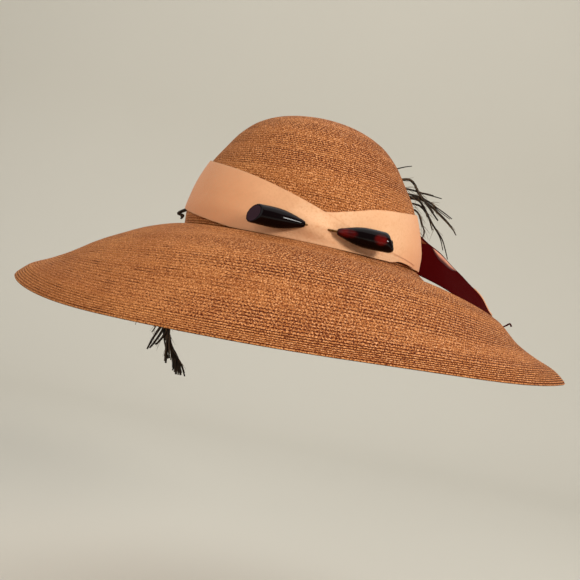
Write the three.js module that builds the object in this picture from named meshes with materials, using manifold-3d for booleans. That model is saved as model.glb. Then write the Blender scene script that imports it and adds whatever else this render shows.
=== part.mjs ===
// Wide-brim straw hat: crown, brim, ribbon band with crossed ends, double-ended pin, ribbon tail and plume.
// Millimetres, +Z up, +X the wearer's right, +Y the front of the hat.
// The origin is the centre of the head opening, in the plane where the crown meets the brim.
import * as THREE from 'three';
import Module from 'manifold-3d';
import { mergeVertices } from 'three/addons/utils/BufferGeometryUtils.js';

const wasm = await Module();
wasm.setup();

// Driving sizes
const GAP = 0.3;
const RIBBON_GAP = 0.6;
const STRAW_WALL = 1.8;
const RIBBON_WALL = 1.1;
const HEAD_HALF_WIDTH = 84.5;
const DEPTH_TO_WIDTH = 1.128;
const CROWN_LEAN = -0.03;
const BRIM_HALF_WIDTH = 193;
const BRIM_HALF_DEPTH = 200;
const BRIM_SHIFT_RIGHT = 5;
const BRIM_WAVE = -4.2;
const LAP_HEIGHT = 8;
const LAP_WALL = 1.4;

// Steps of the faceted surfaces
const ROUND_STEPS = 52;
const CROWN_OUTER_STEPS = 14;
const CROWN_INNER_STEPS = 9;
const BRIM_TOP_STEPS = 12;
const BRIM_UNDER_STEPS = 8;

// Crown outline from the base to the top: half of its width at each height
const CROWN_OUTLINE = [
  { height: GAP, halfWidth: 84.5 },
  { height: 10, halfWidth: 84.6 },
  { height: 22, halfWidth: 82.4 },
  { height: 35, halfWidth: 78.4 },
  { height: 47.5, halfWidth: 73 },
  { height: 59, halfWidth: 65.8 },
  { height: 71, halfWidth: 57.5 },
  { height: 81, halfWidth: 47 },
  { height: 88, halfWidth: 33 },
  { height: 92, halfWidth: 17 },
  { height: 93.5, halfWidth: 0 },
];

// Brim droop at each part of the way from the crown (0) to the rim (1), at the sides, back and front
const BRIM_DROOP = [
  { reach: 0, side: 0, back: 0, front: 0 },
  { reach: 0.12, side: -5.5, back: -2.5, front: -3.5 },
  { reach: 0.25, side: -9.5, back: -4.5, front: -7 },
  { reach: 0.4, side: -15.6, back: -6.5, front: -13 },
  { reach: 0.55, side: -24.4, back: -14, front: -22.5 },
  { reach: 0.7, side: -35, back: -28.5, front: -34 },
  { reach: 0.82, side: -41.5, back: -42, front: -44.5 },
  { reach: 0.92, side: -45, back: -52.6, front: -53 },
  { reach: 1, side: -55, back: -60.8, front: -60.5 },
];

// Ribbon band, by the angle round the crown from the wearer's right: it starts under the crossing
// at the back, goes once round by the right, front and left, and ends over itself at the back right
const BAND_COURSE = [
  { angle: 250, low: 3, high: 21.5, lift: 0.6 },
  { angle: 263, low: 1.4, high: 20.5, lift: 0.6 },
  { angle: 277, low: 0.9, high: 21, lift: 0.6 },
  { angle: 289, low: 0.9, high: 25, lift: 0.6 },
  { angle: 303, low: 0.9, high: 30.8, lift: 0.6 },
  { angle: 319, low: 1.2, high: 34.2, lift: 0.6 },
  { angle: 335, low: 1.6, high: 37.2, lift: 0.6 },
  { angle: 352, low: 2, high: 39.8, lift: 0.6 },
  { angle: 390, low: 3, high: 41, lift: 0.6 },
  { angle: 420, low: 5, high: 42.8, lift: 0.6 },
  { angle: 450, low: 8.5, high: 46, lift: 0.6 },
  { angle: 480, low: 11.5, high: 48.7, lift: 0.6 },
  { angle: 510, low: 13.5, high: 50, lift: 0.6 },
  { angle: 540, low: 13.4, high: 49.4, lift: 0.6 },
  { angle: 547, low: 12.6, high: 48.4, lift: 0.65 },
  { angle: 567, low: 8.2, high: 44.4, lift: 1 },
  { angle: 590, low: 3, high: 39.4, lift: 1.75 },
  { angle: 601, low: 1.1, high: 36.4, lift: 2.15 },
  { angle: 614, low: 0.9, high: 31.8, lift: 2.15 },
  { angle: 626, low: 0.9, high: 26.6, lift: 2.15 },
  { angle: 637, low: 0.9, high: 21.2, lift: 2.15 },
  { angle: 649, low: 0.9, high: 15, lift: 2.15 },
  { angle: 668, low: 0.9, high: 6, lift: 2.15 },
  { angle: 677, low: 0.9, high: 2.6, lift: 2.15 },
];
const BAND_ROWS = 4;
const BAND_STEP = 6;
const BAND_FINE_STEP = 2.5;
// The ribbon rises here over the pin's shank
const CROSSING = { angle: 636.5, halfAngle: 8.5, height: 10.5, halfHeight: 9.5, rise: 3 };

// Double-ended pin: the axis runs level, its left end nearer the viewer behind the hat
const PIN = { leftTip: [0.2, -102.6, 10], turn: 8.5, tipGap: 21, headLength: 33.5, shankRadius: 0.7, bow: 2.2 };
// Outline of one head from the tip to the blunt end
const PIN_HEAD_OUTLINE = [
  { along: 0, radius: 1.7 },
  { along: 0.6, radius: 2.1 },
  { along: 6, radius: 4 },
  { along: 11, radius: 5.4 },
  { along: 15.5, radius: 6.2 },
  { along: 20, radius: 6.35 },
  { along: 28, radius: 6 },
  { along: 38, radius: 5.5 },
];
const PIN_HEAD_SIDES = 16;
const PIN_END_SLANT = 26;

// Plain ribbon wrap at the front right, over the band
const KNOT = { from: 34, to: 50, low: 2.2, high: 44.5, lift: 4, thickness: 4.2, waist: 0.8 };

// Loose ribbon end: it lies on the band under the wrap, then leaves the crown
const TAIL_ROOT = { angles: [45, 38, 30], low: 4, high: 40, lift: 2.9 };
// Its near and far edges after that, and how far its middle bows out
const TAIL_COURSE = [
  { nearX: 87.5, nearY: 40, nearZ: 3.8, farX: 84, farY: 50, farZ: 37, bow: 1.6 },
  { nearX: 99, nearY: 36, nearZ: 1.4, farX: 98, farY: 61, farZ: 29, bow: 0.8 },
  { nearX: 111, nearY: 34, nearZ: -2.4, farX: 112, farY: 63, farZ: 22.5, bow: 0.4 },
  { nearX: 123, nearY: 33, nearZ: -8, farX: 124, farY: 64, farZ: 13.5, bow: 0.4 },
  { nearX: 135, nearY: 33, nearZ: -15.5, farX: 136.5, farY: 66, farZ: 3.5, bow: 0.8 },
  { nearX: 147, nearY: 33, nearZ: -22, farX: 147.5, farY: 68, farZ: -7.5, bow: 1 },
  { nearX: 158, nearY: 33, nearZ: -28.6, farX: 158, farY: 68, farZ: -19.5, bow: 1 },
  { nearX: 167, nearY: 32, nearZ: -32.6, farX: 164, farY: 67, farZ: -28, bow: 0.6 },
];
const TAIL_STEPS = 16;
const TAIL_ROWS = 4;

// Course of the plume's quill: out of the knot, round the front of the crown, over the rim at the left
const QUILL_COURSE = [
  { x: 72, y: 53, z: 26, radius: 1.6 },
  { x: 66.6, y: 59, z: 30, radius: 1.7 },
  { x: 56, y: 68.5, z: 36, radius: 1.8 },
  { x: 39.6, y: 79.2, z: 41, radius: 1.8 },
  { x: 12.6, y: 88.8, z: 44, radius: 1.8 },
  { x: -15.4, y: 89.8, z: 42, radius: 1.8 },
  { x: -41, y: 84.5, z: 33, radius: 1.7 },
  { x: -62.5, y: 79, z: 18, radius: 1.7 },
  { x: -77, y: 96, z: 0, radius: 1.6 },
  { x: -88, y: 122, z: -16, radius: 1.5 },
  { x: -98, y: 148, z: -31, radius: 1.4 },
  { x: -106, y: 168, z: -47, radius: 1.3 },
  { x: -111, y: 181, z: -66, radius: 1.2 },
  { x: -108, y: 186, z: -90, radius: 1 },
  { x: -99, y: 185, z: -112, radius: 0.8 },
];
// Short stem that carries the strands at the right of the crown
const STEM_COURSE = [
  { x: 62, y: 63.5, z: 33, radius: 1.5 },
  { x: 66, y: 70, z: 45, radius: 1.4 },
  { x: 66, y: 70, z: 60, radius: 1.2 },
  { x: 61, y: 63, z: 73, radius: 1 },
];
// Strands seen at the right of the crown: root on the stem (0 to 1), bend and tip
const RIGHT_STRANDS = [
  { root: 1, bendX: 80, bendY: 55, bendZ: 67, tipX: 101, tipY: 50, tipZ: 47.5 },
  { root: 0.9, bendX: 84, bendY: 56, bendZ: 66.5, tipX: 100, tipY: 54, tipZ: 65 },
  { root: 0.8, bendX: 92, bendY: 58, bendZ: 60, tipX: 111, tipY: 56, tipZ: 51.5 },
  { root: 0.7, bendX: 98, bendY: 60, bendZ: 55, tipX: 117, tipY: 58, tipZ: 40 },
  { root: 0.6, bendX: 88, bendY: 60, bendZ: 56, tipX: 98, tipY: 58, tipZ: 39.5 },
  { root: 0.5, bendX: 98, bendY: 62, bendZ: 44, tipX: 113.5, tipY: 60, tipZ: 20.5 },
  { root: 0.4, bendX: 88, bendY: 64, bendZ: 44, tipX: 91, tipY: 62, tipZ: 31 },
  { root: 1, bendX: 64, bendY: 55, bendZ: 80, tipX: 71.5, tipY: 54, tipZ: 87.5 },
];
// Strands that hang below the rim at the left front: root on the quill (0 to 1), bend and tip
const LEFT_STRANDS = [
  { root: 0.8, bendX: -120, bendY: 172, bendZ: -64, tipX: -134, tipY: 172, tipZ: -86 },
  { root: 0.84, bendX: -113, bendY: 178, bendZ: -78, tipX: -118, tipY: 176, tipZ: -89 },
  { root: 0.87, bendX: -113, bendY: 178, bendZ: -88, tipX: -120, tipY: 176, tipZ: -106 },
  { root: 0.9, bendX: -107, bendY: 182, bendZ: -94, tipX: -113, tipY: 180, tipZ: -101 },
  { root: 0.92, bendX: -102, bendY: 184, bendZ: -100, tipX: -100, tipY: 182, tipZ: -115 },
  { root: 0.95, bendX: -97, bendY: 184, bendZ: -105, tipX: -93.5, tipY: 182, tipZ: -117 },
  { root: 0.98, bendX: -92, bendY: 184, bendZ: -112, tipX: -86.5, tipY: 182, tipZ: -123 },
  { root: 1, bendX: -88, bendY: 184, bendZ: -117, tipX: -79.5, tipY: 182, tipZ: -124 },
  { root: 0.42, bendX: -86, bendY: 60, bendZ: 16, tipX: -96, tipY: 40, tipZ: 8 },
];
// Locks of barbs on both sides of the quill, and the thin strands
const VANE = { pairs: 9, from: 0.21, to: 0.74, length: 34, sweep: 26, droop: 5, rootWidth: 11, tipWidth: 2 };
const VANE_LOCK = { flatness: 0.24, steps: 4 };
const STRAND = { rootWidth: 2.4, tipWidth: 0.9, flatness: 0.55, steps: 5 };
const QUILL_STEPS = 26;
const QUILL_SIDES = 5;
const PLUME_CLEARANCE = 2.8;

const FINISH = {
  straw: { color: 0xa9683a, roughness: 0.75, metalness: 0 },
  ribbon: { color: 0xf0a878, roughness: 0.6, metalness: 0 },
  tail: { color: 0x4a0508, roughness: 0.6, metalness: 0 },
  pinHead: { color: 0x2a0506, roughness: 0.1, metalness: 0 },
  brass: { color: 0x9a7038, roughness: 0.35, metalness: 1 },
  feather: { color: 0x241b14, roughness: 0.7, metalness: 0 },
};

const radians = THREE.MathUtils.degToRad;
const lerp = THREE.MathUtils.lerp;

// Smooth value of a column between the rows of a table, with the slopes of a monotone cubic
function fromTable(rows, key, at, column) {
  const last = rows.length - 1;
  const clamped = THREE.MathUtils.clamp(at, rows[0][key], rows[last][key]);
  let i = 0;
  while (i < last - 1 && rows[i + 1][key] < clamped) i += 1;
  const step = (k) => rows[k + 1][key] - rows[k][key];
  const rise = (k) => (rows[k + 1][column] - rows[k][column]) / step(k);
  const slope = (k) => {
    if (k === 0) return rise(0);
    if (k === last) return rise(last - 1);
    const before = rise(k - 1);
    const after = rise(k);
    return before * after <= 0 ? 0 : (2 * before * after) / (before + after);
  };
  const t = (clamped - rows[i][key]) / step(i);
  const t2 = t * t;
  const t3 = t2 * t;
  return (2 * t3 - 3 * t2 + 1) * rows[i][column] + (t3 - 2 * t2 + t) * step(i) * slope(i)
    + (3 * t2 - 2 * t3) * rows[i + 1][column] + (t3 - t2) * step(i) * slope(i + 1);
}

// Closed solid through loops of points of equal count
// ends 'joined' makes a ring of the loops, 'capped' closes each end with a ladder across the loop
function loft(loops, ends) {
  const count = loops[0].length;
  const points = loops.flat();
  const faces = [];
  const spans = ends === 'joined' ? loops.length : loops.length - 1;
  for (let i = 0; i < spans; i += 1) {
    const next = ((i + 1) % loops.length) * count;
    for (let j = 0; j < count; j += 1) {
      const k = (j + 1) % count;
      faces.push([i * count + j, next + j, next + k], [i * count + j, next + k, i * count + k]);
    }
  }
  if (ends === 'capped') {
    const last = (loops.length - 1) * count;
    for (let j = 0; j < count / 2 - 1; j += 1) {
      const far = count - 1 - j;
      faces.push([j, j + 1, far - 1], [j, far - 1, far]);
      faces.push([last + j, last + far - 1, last + j + 1], [last + j, last + far, last + far - 1]);
    }
  }
  return outward(points, faces);
}

// Geometry from points and faces, turned so that its faces point out
function outward(points, faces) {
  let volume = 0;
  for (const [a, b, c] of faces) {
    volume += points[a].dot(new THREE.Vector3().crossVectors(points[b], points[c]));
  }
  const index = volume > 0 ? faces.flat() : faces.map(([a, b, c]) => [a, c, b]).flat();
  const geometry = new THREE.BufferGeometry().setFromPoints(points);
  geometry.setIndex(index);
  return geometry;
}

function toSolid(geometry) {
  const bare = geometry.clone();
  bare.deleteAttribute('normal');
  bare.deleteAttribute('uv');
  const merged = mergeVertices(bare, 1e-4);
  const vertProperties = new Float32Array(merged.attributes.position.array);
  const triVerts = new Uint32Array(merged.index.array);
  return new wasm.Manifold(new wasm.Mesh({ numProp: 3, vertProperties, triVerts }));
}

function toGeometry(solid) {
  const mesh = solid.getMesh();
  const geometry = new THREE.BufferGeometry();
  geometry.setAttribute('position', new THREE.BufferAttribute(new Float32Array(mesh.vertProperties), 3));
  geometry.setIndex(new THREE.BufferAttribute(new Uint32Array(mesh.triVerts), 1));
  return geometry;
}

// Crown surface: half width at a height, and the point at an angle, height and distance off the straw
function crownHalfWidth(height) {
  return fromTable(CROWN_OUTLINE, 'height', height, 'halfWidth');
}

function onCrown(angle, height, off) {
  const halfWidth = crownHalfWidth(height) + off;
  const halfDepth = crownHalfWidth(height) * DEPTH_TO_WIDTH + off;
  const x = halfWidth * Math.cos(radians(angle)) + CROWN_LEAN * height;
  return new THREE.Vector3(x, halfDepth * Math.sin(radians(angle)), height);
}

// Closed ring of points at one place of a crown profile
function crownRing(halfWidth, height, inset) {
  const ring = [];
  for (let i = 0; i < ROUND_STEPS; i += 1) {
    const angle = (2 * Math.PI * i) / ROUND_STEPS;
    const x = (halfWidth - inset) * Math.cos(angle) + CROWN_LEAN * height;
    const y = (halfWidth * DEPTH_TO_WIDTH - inset) * Math.sin(angle);
    ring.push(new THREE.Vector3(x, y, height));
  }
  return ring;
}

function makeCrown() {
  const outline = new THREE.SplineCurve(CROWN_OUTLINE.map((r) => new THREE.Vector2(r.halfWidth, r.height)));
  const loops = [];
  for (let i = CROWN_OUTER_STEPS - 1; i >= 0; i -= 1) {
    const p = outline.getPointAt(i / CROWN_OUTER_STEPS);
    loops.push(crownRing(p.x, p.y, 0));
  }
  for (let i = 0; i < CROWN_INNER_STEPS; i += 1) {
    const along = i / CROWN_INNER_STEPS;
    const p = outline.getPointAt(along);
    const slope = outline.getTangentAt(along);
    const height = i === 0 ? p.y : p.y + STRAW_WALL * slope.x;
    loops.push(crownRing(p.x, height, i === 0 ? STRAW_WALL : STRAW_WALL * slope.y));
  }
  const points = loops.flat();
  const faces = [];
  for (let i = 0; i < loops.length - 1; i += 1) {
    for (let j = 0; j < ROUND_STEPS; j += 1) {
      const k = (j + 1) % ROUND_STEPS;
      const low = i * ROUND_STEPS;
      const next = low + ROUND_STEPS;
      faces.push([low + j, next + j, next + k], [low + j, next + k, low + k]);
    }
  }
  const top = CROWN_OUTLINE[CROWN_OUTLINE.length - 1].height;
  const inner = (loops.length - 1) * ROUND_STEPS;
  points.push(new THREE.Vector3(CROWN_LEAN * top, 0, top));
  points.push(new THREE.Vector3(CROWN_LEAN * top, 0, top - STRAW_WALL));
  for (let j = 0; j < ROUND_STEPS; j += 1) {
    const k = (j + 1) % ROUND_STEPS;
    faces.push([j, k, points.length - 2], [inner + k, inner + j, points.length - 1]);
  }
  return outward(points, faces);
}

// Height of the brim's upper face at a reach from the crown and an angle in radians
function brimHeight(reach, angle) {
  const along = Math.cos(angle) ** 2;
  const end = fromTable(BRIM_DROOP, 'reach', reach, Math.sin(angle) < 0 ? 'back' : 'front');
  const side = fromTable(BRIM_DROOP, 'reach', reach, 'side');
  return side * along + end * (1 - along) + BRIM_WAVE * reach * reach * Math.sin(2 * angle);
}

function onBrim(reach, angle, inset, height) {
  const halfWidth = lerp(HEAD_HALF_WIDTH, BRIM_HALF_WIDTH, reach) - inset;
  const halfDepth = lerp(HEAD_HALF_WIDTH * DEPTH_TO_WIDTH, BRIM_HALF_DEPTH, reach) - inset;
  const x = halfWidth * Math.cos(angle) + BRIM_SHIFT_RIGHT * reach;
  return new THREE.Vector3(x, halfDepth * Math.sin(angle), height);
}

// The lap turned up inside the crown leans with it
function onLap(angle, inset, height) {
  const halfWidth = HEAD_HALF_WIDTH - inset;
  const halfDepth = HEAD_HALF_WIDTH * DEPTH_TO_WIDTH - inset;
  const x = halfWidth * Math.cos(angle) + CROWN_LEAN * Math.max(height, 0);
  return new THREE.Vector3(x, halfDepth * Math.sin(angle), height);
}

function makeBrim() {
  const lapOuter = STRAW_WALL + 2 * GAP;
  const lapInner = lapOuter + LAP_WALL;
  const loops = [];
  for (let i = 0; i < ROUND_STEPS; i += 1) {
    const angle = (2 * Math.PI * i) / ROUND_STEPS;
    const loop = [onLap(angle, lapOuter + GAP, LAP_HEIGHT), onLap(angle, lapOuter, 0)];
    for (let k = 0; k <= BRIM_TOP_STEPS; k += 1) {
      const reach = k / BRIM_TOP_STEPS;
      loop.push(onBrim(reach, angle, 0, brimHeight(reach, angle)));
    }
    for (let k = BRIM_UNDER_STEPS; k > 0; k -= 1) {
      const reach = k / BRIM_UNDER_STEPS;
      const width = BRIM_HALF_WIDTH - HEAD_HALF_WIDTH;
      const fall = (brimHeight(reach - 0.04, angle) - brimHeight(reach + 0.04, angle)) / (0.08 * width);
      const drop = STRAW_WALL * Math.hypot(1, fall);
      loop.push(onBrim(reach, angle, k === BRIM_UNDER_STEPS ? 0.4 : 0, brimHeight(reach, angle) - drop));
    }
    loop.push(onBrim(0, angle, 0, -STRAW_WALL), onLap(angle, lapInner, -STRAW_WALL));
    loop.push(onLap(angle, lapInner + GAP, LAP_HEIGHT));
    loops.push(loop);
  }
  return loft(loops, 'joined');
}

// Angles at which the band gets a section, closer together where its ends cross
function bandAngles() {
  const first = BAND_COURSE[0].angle;
  const last = BAND_COURSE[BAND_COURSE.length - 1].angle;
  const angles = [];
  for (let angle = first; angle < last - 0.5;) {
    angles.push(angle);
    angle += angle > 612 && angle < 660 ? BAND_FINE_STEP : BAND_STEP;
  }
  angles.push(last);
  return angles;
}

// Extra distance of the ribbon off the crown where it passes over the pin's shank
function crossingRise(angle, height) {
  const across = Math.min(1, Math.abs(angle - CROSSING.angle) / CROSSING.halfAngle);
  const up = Math.min(1, Math.abs(height - CROSSING.height) / CROSSING.halfHeight);
  return CROSSING.rise * Math.cos((across * Math.PI) / 2) ** 2 * Math.cos((up * Math.PI) / 2) ** 2;
}

// Strip round the crown: sections of a row of points on its inner face and the same on its outer face
function wrap(angles, rows, edge) {
  const loops = angles.map((angle) => {
    const { low, high, lift, wall } = edge(angle);
    const inner = [];
    const outer = [];
    for (let k = 0; k <= rows; k += 1) {
      const height = lerp(low, high, k / rows);
      const off = lift(height);
      inner.push(onCrown(angle, height, off));
      outer.unshift(onCrown(angle, height, off + wall(k / rows)));
    }
    return [...inner, ...outer];
  });
  return loft(loops, 'capped');
}

function makeBand() {
  const strip = wrap(bandAngles(), BAND_ROWS, (angle) => ({
    low: fromTable(BAND_COURSE, 'angle', angle, 'low'),
    high: fromTable(BAND_COURSE, 'angle', angle, 'high'),
    lift: (height) => fromTable(BAND_COURSE, 'angle', angle, 'lift') + crossingRise(angle, height),
    wall: () => RIBBON_WALL,
  }));
  return toGeometry(toSolid(strip).subtract(toSolid(shankTube(PIN.shankRadius + GAP))));
}

// Pin: its axis, from the left tip to the right tip
function pinDirection() {
  return new THREE.Vector3(Math.cos(radians(PIN.turn)), Math.sin(radians(PIN.turn)), 0);
}

function shankTube(radius) {
  const start = new THREE.Vector3(...PIN.leftTip);
  const along = pinDirection();
  const inward = new THREE.Vector3(-along.y, along.x, 0);
  const at = (distance, bow) => start.clone().addScaledVector(along, distance).addScaledVector(inward, bow);
  const length = PIN.tipGap - GAP;
  const route = new THREE.CatmullRomCurve3([
    at(GAP, 0), at(length * 0.18, PIN.bow * 0.35), at(length * 0.36, PIN.bow * 0.9), at(length * 0.5, PIN.bow),
    at(length * 0.64, PIN.bow * 0.9), at(length * 0.82, PIN.bow * 0.35), at(length, 0),
  ]);
  const section = new THREE.Shape().absarc(0, 0, radius, 0, 2 * Math.PI, false);
  return new THREE.ExtrudeGeometry(section, { steps: 14, curveSegments: 4, extrudePath: route });
}

// One head in its own frame: tip at the origin, blunt end along +Y, its slanting face cut by a block
function makePinHead() {
  const profile = PIN_HEAD_OUTLINE.map((r) => new THREE.Vector2(r.radius, r.along));
  const end = PIN_HEAD_OUTLINE[PIN_HEAD_OUTLINE.length - 1].along;
  const body = new THREE.LatheGeometry([new THREE.Vector2(0, 0), ...profile, new THREE.Vector2(0, end)],
    PIN_HEAD_SIDES);
  const cutter = new THREE.BoxGeometry(40, 40, 40);
  cutter.translate(0, 20, 0);
  cutter.rotateX(radians(PIN_END_SLANT));
  cutter.translate(0, PIN.headLength, 0);
  return toGeometry(toSolid(body).subtract(toSolid(cutter)));
}

function makeKnot() {
  const angles = [];
  for (let i = 0; i <= 8; i += 1) angles.push(lerp(KNOT.from, KNOT.to, i / 8));
  const strip = wrap(angles, 6, (angle) => {
    const across = Math.abs((angle - KNOT.from) / (KNOT.to - KNOT.from) - 0.5) * 2;
    return {
      low: KNOT.low,
      high: KNOT.high,
      lift: () => KNOT.lift,
      wall: (up) => lerp(KNOT.thickness, RIBBON_WALL, across ** 3) * (1 - KNOT.waist * Math.abs(up - 0.5) ** 2),
    };
  });
  return toGeometry(toSolid(strip).subtract(plumeCore(GAP)));
}

function makeTail() {
  const half = RIBBON_WALL / 2;
  const loops = [];
  const addLoop = (point) => {
    const inner = [];
    const outer = [];
    for (let k = 0; k <= TAIL_ROWS; k += 1) {
      inner.push(point(k / TAIL_ROWS, -half));
      outer.unshift(point(k / TAIL_ROWS, half));
    }
    loops.push([...inner, ...outer]);
  };
  for (const angle of TAIL_ROOT.angles) {
    addLoop((u, off) => onCrown(angle, lerp(TAIL_ROOT.low, TAIL_ROOT.high, u), TAIL_ROOT.lift + off));
  }
  const lastAngle = TAIL_ROOT.angles[TAIL_ROOT.angles.length - 1];
  const edge = (side, height) => new THREE.CatmullRomCurve3([
    onCrown(lastAngle, height, TAIL_ROOT.lift),
    ...TAIL_COURSE.map((r) => new THREE.Vector3(r[`${side}X`], r[`${side}Y`], r[`${side}Z`])),
  ]);
  const near = edge('near', TAIL_ROOT.low);
  const far = edge('far', TAIL_ROOT.high);
  const bows = TAIL_COURSE.map((r, i) => ({ row: i + 1, bow: r.bow }));
  for (let i = 1; i <= TAIL_STEPS; i += 1) {
    const t = i / TAIL_STEPS;
    const a = near.getPoint(t);
    const b = far.getPoint(t);
    const bow = fromTable(bows, 'row', t * TAIL_COURSE.length, 'bow');
    const normal = b.clone().sub(a).cross(near.getTangent(t)).normalize();
    addLoop((u, off) => a.clone().lerp(b, u).addScaledVector(normal, 4 * bow * u * (1 - u) + off));
  }
  return loft(loops, 'capped');
}

// Keep a point clear of the straw and the ribbon
function keepClear(p) {
  const clear = p.clone();
  const height = THREE.MathUtils.clamp(p.z, 0, 92);
  const halfWidth = crownHalfWidth(height) + RIBBON_GAP + RIBBON_WALL + PLUME_CLEARANCE;
  const halfDepth = crownHalfWidth(height) * DEPTH_TO_WIDTH + RIBBON_GAP + RIBBON_WALL + PLUME_CLEARANCE;
  const x = clear.x - CROWN_LEAN * height;
  const size = Math.hypot(x / halfWidth, clear.y / halfDepth);
  if (size < 1) {
    clear.x = x / size + CROWN_LEAN * height;
    clear.y /= size;
  }
  const angle = Math.atan2(clear.y / BRIM_HALF_DEPTH, clear.x / BRIM_HALF_WIDTH);
  let reach = 0;
  while (reach < 1.05 && onBrim(reach, angle, 0, 0).length() < Math.hypot(clear.x, clear.y)) reach += 0.01;
  const room = PLUME_CLEARANCE + 4 * Math.max(0, 1 - reach / 0.3);
  if (reach < 1.05) clear.z = Math.max(clear.z, brimHeight(Math.min(reach, 1), angle) + room);
  return clear;
}

// Tapering flat strand along a curve, its broad faces towards a direction
function strand(route, facing, size) {
  const loops = [];
  for (let i = 0; i <= size.steps; i += 1) {
    const t = i / size.steps;
    const p = route.getPoint(t);
    const side = route.getTangent(t).cross(facing).normalize();
    const lift = side.clone().cross(route.getTangent(t)).normalize();
    const half = lerp(size.rootWidth, size.tipWidth, t ** 1.4) / 2;
    const thin = Math.max(half * size.flatness, 0.4);
    loops.push([
      p.clone().addScaledVector(side, half),
      p.clone().addScaledVector(lift, thin),
      p.clone().addScaledVector(side, -half),
      p.clone().addScaledVector(lift, -thin),
    ]);
  }
  return toSolid(loft(loops, 'capped'));
}

function curveOf(course) {
  return new THREE.CatmullRomCurve3(course.map((r) => new THREE.Vector3(r.x, r.y, r.z)));
}

// Tube whose radius follows its course
function taperedTube(course, grow, steps, sides) {
  const route = curveOf(course);
  const frames = route.computeFrenetFrames(steps);
  const loops = [];
  for (let i = 0; i <= steps; i += 1) {
    const t = i / steps;
    const row = t * (course.length - 1);
    const low = Math.min(Math.floor(row), course.length - 2);
    const radius = lerp(course[low].radius, course[low + 1].radius, row - low) + grow;
    const middle = route.getPoint(t);
    const loop = [];
    for (let k = 0; k < sides; k += 1) {
      const turn = (2 * Math.PI * k) / sides;
      loop.push(middle.clone().addScaledVector(frames.normals[i], radius * Math.cos(turn))
        .addScaledVector(frames.binormals[i], radius * Math.sin(turn)));
    }
    loops.push(loop);
  }
  return toSolid(loft(loops, 'capped'));
}

// Quill and stem, or with a distance to grow by, the room that they take
function plumeCore(grow) {
  const [start, next] = QUILL_COURSE;
  const away = new THREE.Vector3(start.x - next.x, start.y - next.y, start.z - next.z).setLength(grow);
  const first = { x: start.x + away.x, y: start.y + away.y, z: start.z + away.z, radius: start.radius };
  const course = [first, ...QUILL_COURSE.slice(1)];
  return taperedTube(course, grow, QUILL_STEPS, QUILL_SIDES)
    .add(taperedTube(STEM_COURSE, grow, 6, QUILL_SIDES));
}

function tableStrand(route, row) {
  const root = route.getPoint(row.root);
  const bend = new THREE.Vector3(row.bendX, row.bendY, row.bendZ);
  const tip = new THREE.Vector3(row.tipX, row.tipY, row.tipZ);
  const curve = new THREE.CatmullRomCurve3([root, root.clone().lerp(bend, 0.5), bend, tip]);
  return strand(curve, new THREE.Vector3(0, 1, 0), STRAND);
}

// Direction off the hat at a place on the quill: level on the crown, up on the brim, level past the rim
function offHat(p) {
  const out = new THREE.Vector3(p.x, p.y, 0).normalize();
  const overBrim = THREE.MathUtils.smoothstep(-p.z, -30, 0) * THREE.MathUtils.smoothstep(p.z, -66, -50);
  return out.lerp(new THREE.Vector3(0, 0, 1), overBrim * 0.85).normalize();
}

// Lock of barbs: it leaves the quill, sweeps along it and droops
function vaneLock(route, at, side) {
  const root = route.getPoint(at);
  const tangent = route.getTangent(at);
  const off = offHat(root);
  const across = tangent.clone().cross(off).normalize().multiplyScalar(side);
  const length = VANE.length * (0.72 + 0.28 * Math.sin(Math.PI * at));
  const point = (way) => keepClear(root.clone()
    .addScaledVector(across, length * way)
    .addScaledVector(tangent, VANE.sweep * way ** 1.6)
    .addScaledVector(off, 3 * Math.sin(Math.PI * way) - VANE.droop * way ** 3));
  const curve = new THREE.CatmullRomCurve3([root, point(0.33), point(0.67), point(1)]);
  return strand(curve, off, { ...VANE, ...VANE_LOCK });
}

function makePlume() {
  const quill = curveOf(QUILL_COURSE);
  const stem = curveOf(STEM_COURSE);
  let plume = plumeCore(0);
  for (let i = 0; i < VANE.pairs; i += 1) {
    const at = lerp(VANE.from, VANE.to, i / (VANE.pairs - 1));
    plume = plume.add(vaneLock(quill, at, 1)).add(vaneLock(quill, at + 0.025, -1));
  }
  for (const row of RIGHT_STRANDS) plume = plume.add(tableStrand(stem, row));
  for (const row of LEFT_STRANDS) plume = plume.add(tableStrand(quill, row));
  return toGeometry(plume);
}

function piece(name, geometry, finish) {
  const mesh = new THREE.Mesh(geometry, new THREE.MeshStandardMaterial(finish));
  mesh.name = name;
  return mesh;
}

const hat = new THREE.Group();
hat.add(piece('crown', makeCrown(), FINISH.straw));
hat.add(piece('brim', makeBrim(), FINISH.straw));
hat.add(piece('hat_band', makeBand(), FINISH.ribbon));
hat.add(piece('ribbon_knot', makeKnot(), FINISH.ribbon));
hat.add(piece('ribbon_tail', makeTail(), FINISH.tail));
hat.add(piece('plume', makePlume(), FINISH.feather));

// The two heads share one shape: each is turned about the pin's axis line and set at its tip
const pin = new THREE.Group();
pin.position.set(...PIN.leftTip);
pin.rotation.z = radians(PIN.turn);
const head = makePinHead();
const leftHead = piece('pin_head_left', head, FINISH.pinHead);
leftHead.rotation.z = radians(90);
const rightHead = piece('pin_head_right', head, FINISH.pinHead);
rightHead.rotation.z = radians(-90);
rightHead.position.x = PIN.tipGap;
pin.add(leftHead, rightHead);
hat.add(pin);
hat.add(piece('pin_shank', shankTube(PIN.shankRadius), FINISH.brass));

export default hat;
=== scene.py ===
import math

import bpy
import numpy as np
from bpy.props import FloatProperty, FloatVectorProperty, IntProperty, PointerProperty
from mathutils import Matrix, Vector


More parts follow.
